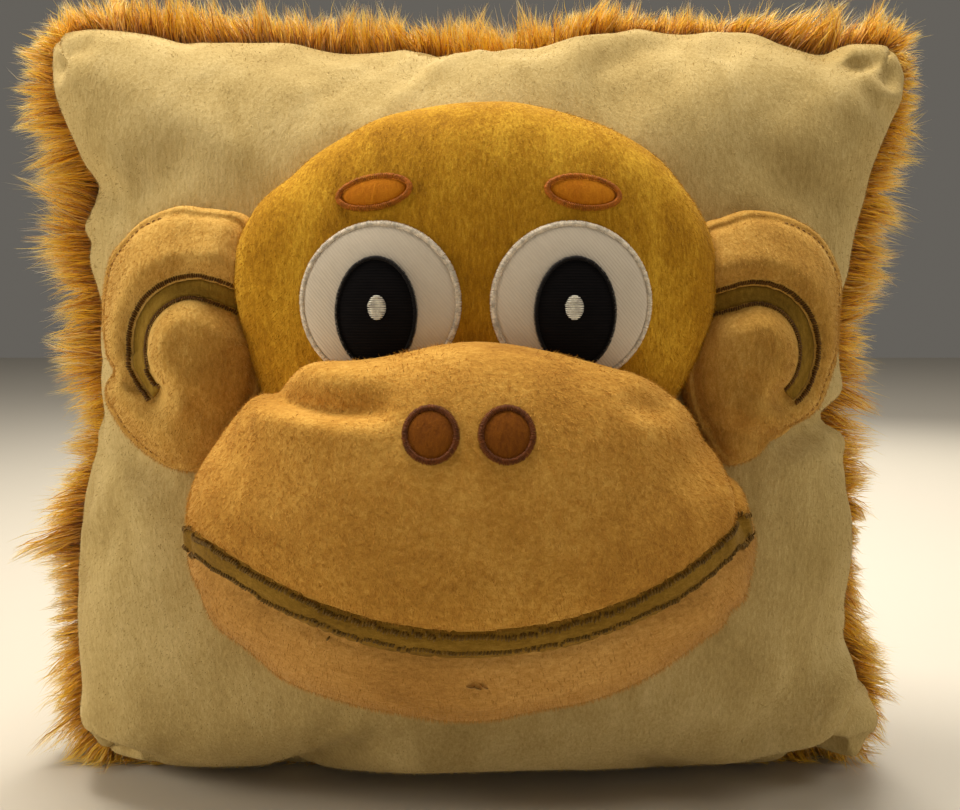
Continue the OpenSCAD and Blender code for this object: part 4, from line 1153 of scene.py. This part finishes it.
def nap(name, o, count, length, lean, mat, seed, keep=None, wid=0.17, mat_index=None):
    rng = np.random.default_rng(seed)
    v = verts_of(o); vn = vertex_normals(o)
    quads = np.array([list(p.vertices)[:4] for p in o.data.polygons if len(p.vertices) == 4 and (mat_index is None or p.material_index == mat_index)])
    a, b, c, d = (v[quads[:, i]] for i in range(4))
    area = np.linalg.norm(np.cross(c - a, d - b), axis=1) / 2
    cen = (a + b + c + d) / 4; nn = vn[quads].mean(1)
    w = area * (nn[:, 1] < 0.25)
    if keep is not None:
        w = w * keep(cen)
    k = rng.choice(len(quads), size=count, p=w / w.sum())
    u, s_ = rng.random((2, count, 1))
    p = (a[k] * (1 - u) + b[k] * u) * (1 - s_) + (d[k] * (1 - u) + c[k] * u) * s_
    na, nb, nc, nd = (vn[quads[k][:, i]] for i in range(4))
    n = (na * (1 - u) + nb * u) * (1 - s_) + (nd * (1 - u) + nc * u) * s_
    n /= np.linalg.norm(n, axis=1, keepdims=True)
    comb = np.asarray(lean, float)[None] + 0.35 * np.stack([noise(p, seed + 1, 2, 40), noise(p, seed + 2, 2, 40) * 0, noise(p, seed + 3, 2, 40)], -1)
    dr = n + comb + rng.normal(scale=0.28, size=n.shape)
    dr /= np.linalg.norm(dr, axis=1, keepdims=True)
    L = length * rng.uniform(0.5, 1.25, count)
    t_ = np.linspace(0, 1, 3)
    P_ = p[:, None] - 0.15 * n[:, None] + dr[:, None] * (L[:, None] * t_[None])[:, :, None]
    P_[:, :, 2] = np.maximum(P_[:, :, 2], 0.2)
    return strand_mesh(name, P_, np.full(count, wid) * rng.uniform(0.7, 1.3, count), rng.uniform(0.02, 0.98, count), seed + 9, mat)


def clear_of(*spots):
    """keeps the nap off the patches: (x, z, half width, half height)"""
    def f(c):
        k_ = np.ones(len(c))
        for x_, z_, a_, b_ in spots:
            k_ *= (((c[:, 0] - x_) / a_) ** 2 + ((c[:, 2] - z_) / b_) ** 2) > 1
        return k_
    return f


def off_line(line, dist):
    from mathutils.kdtree import KDTree
    kd = KDTree(len(line))
    for i_, q_ in enumerate(line):
        kd.insert(Vector(q_), i_)
    kd.balance()
    return lambda c: np.array([kd.find(Vector(q_))[2] > dist for q_ in c], float)


QK = 1.0
head_keep = clear_of((-35, 216, 29, 29), (32, 216, 29, 29), (-37, 254.5, 14.5, 7.5), (36, 254.5, 14.5, 7.5))
mz_spots = clear_of((-15.5, 174.5, 9.6, 9.6), (8.5, 174.5, 9.6, 9.6))
mz_line = off_line(ml, 6.2)
naps = [
    (nap("nap_head", head.o, int(36000 * QK), 1.7, (0, -0.1, -1.3), nap_mat("nap_head", (.38, .18, .006), (.48, .24, .010), (.66, .38, .03)), 301, head_keep), "head_plush"),
    (nap("nap_muzzle", muz.o, int(42000 * QK), 1.8, (0.2, 0, -1.1), nap_mat("nap_muzzle", (.45, .215, .030), (.55, .28, .046), (.70, .40, .085)), 302, lambda c: mz_spots(c) * mz_line(c), mat_index=0), "muzzle_plush"),
    (nap("nap_lip", muz.o, int(16000 * QK), 1.8, (0.2, 0, -1.1), nap_mat("nap_lip", (.41, .205, .042), (.50, .262, .060), (.64, .37, .10)), 303, mz_line, mat_index=1), "lip_plush"),
    (nap("nap_panel", cushion, int(60000 * QK), 1.2, (0, 0, -0.8), nap_mat("nap_panel", (.44, .315, .12), (.50, .372, .150), (.60, .465, .21)), 304, None, 0.2, mat_index=0), "panel_plush")]
nap_ears = {}
for side, eo, path, cx_ in (("left", ear_l, BAND_L, -117), ("right", ear_r, BAND_R, 111)):
    pp_ = np.array(path)
    nap_ears[side] = nap("nap_ear_" + side, eo, int(15000 * QK), 1.5, (0, 0, -1.1), nap_mat("nap_ear_" + side, (.45, .24, .045), (.55, .31, .065), (.72, .45, .12)), 305,
                         lambda c, pp_=pp_: (path_dist(c[:, 0], c[:, 2], pp_)[0] > 6.2).astype(float))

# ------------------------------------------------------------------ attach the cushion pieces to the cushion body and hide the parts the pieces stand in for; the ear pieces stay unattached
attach(cushion, "cushion"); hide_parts("front_panel", "back_panel", "cushion_filling")
for i, o in enumerate(fur):
    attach(o, "cushion")
    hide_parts("back_pile")
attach(head.o, "cushion"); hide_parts("head_panel", "head_filling")
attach(muz.o, "cushion"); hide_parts("muzzle_panel_upper", "muzzle_panel_lower", "muzzle_filling")
for o, (nd, sl) in pieces_cushion.items():
    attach(o, "cushion")
    if nd:
        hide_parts(nd)
for side, sx in (("left", -1), ("right", 1)):
    for o, (nds, sl) in pieces_ear[side].items():
        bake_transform(o)
        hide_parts(*nds)
for o, sl in naps:
    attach(o, "cushion")
for side, sx in (("left", -1), ("right", 1)):
    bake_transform(nap_ears[side])

# ------------------------------------------------------------------ table and light
fm, nt, b = new_mat("table_top")
b.inputs["Base Color"].default_value = (.60, .565, .50, 1)
b.inputs["Roughness"].default_value = 0.55
b.inputs["Specular IOR Level"].default_value = 0.3
fl = mesh_obj("floor", [(-4000, -3000, 0), (4000, -3000, 0), (4000, 4000, 0), (-4000, 4000, 0)], [(0, 1, 2, 3)], fm, smooth=False)
for nm, loc, size, energy, col in (("key", (-0.18, 0.06, 1.25), 0.45, 12.5, (1, .91, .77)),
                                   ("over", (0.0, 0.5, 3.0), 2.4, 42.0, (1, .93, .82)),
                                   ("left", (-1.2, -0.24, 0.55), 0.4, 7.5, (1, .90, .74)),
                                   ("right", (1.1, -0.22, 0.85), 0.45, 3.6, (1, .91, .77)),
                                   ("fill", (0.2, -1.4, 0.7), 1.0, 0.8, (1, .93, .80)),
                                   ("rim", (0.35, 1.1, 0.9), 0.9, 12, (1, .93, .80))):
    ld = bpy.data.lights.new(nm, "AREA"); ld.size = size; ld.energy = energy; ld.color = col
    lo_ = bpy.data.objects.new(nm, ld); bpy.context.scene.collection.objects.link(lo_)
    lo_.location = loc
    d = Vector((0, 0, 0.12)) - Vector(loc)
    lo_.rotation_euler = d.to_track_quat("-Z", "Y").to_euler()
w = bpy.data.worlds.new("w"); bpy.context.scene.world = w; w.use_nodes = True
w.node_tree.nodes["Background"].inputs[0].default_value = (1.0, .93, .82, 1)
w.node_tree.nodes["Background"].inputs[1].default_value = 0.13
bpy.context.scene.view_settings.view_transform = "Standard"
bpy.context.scene.view_settings.look = "None"
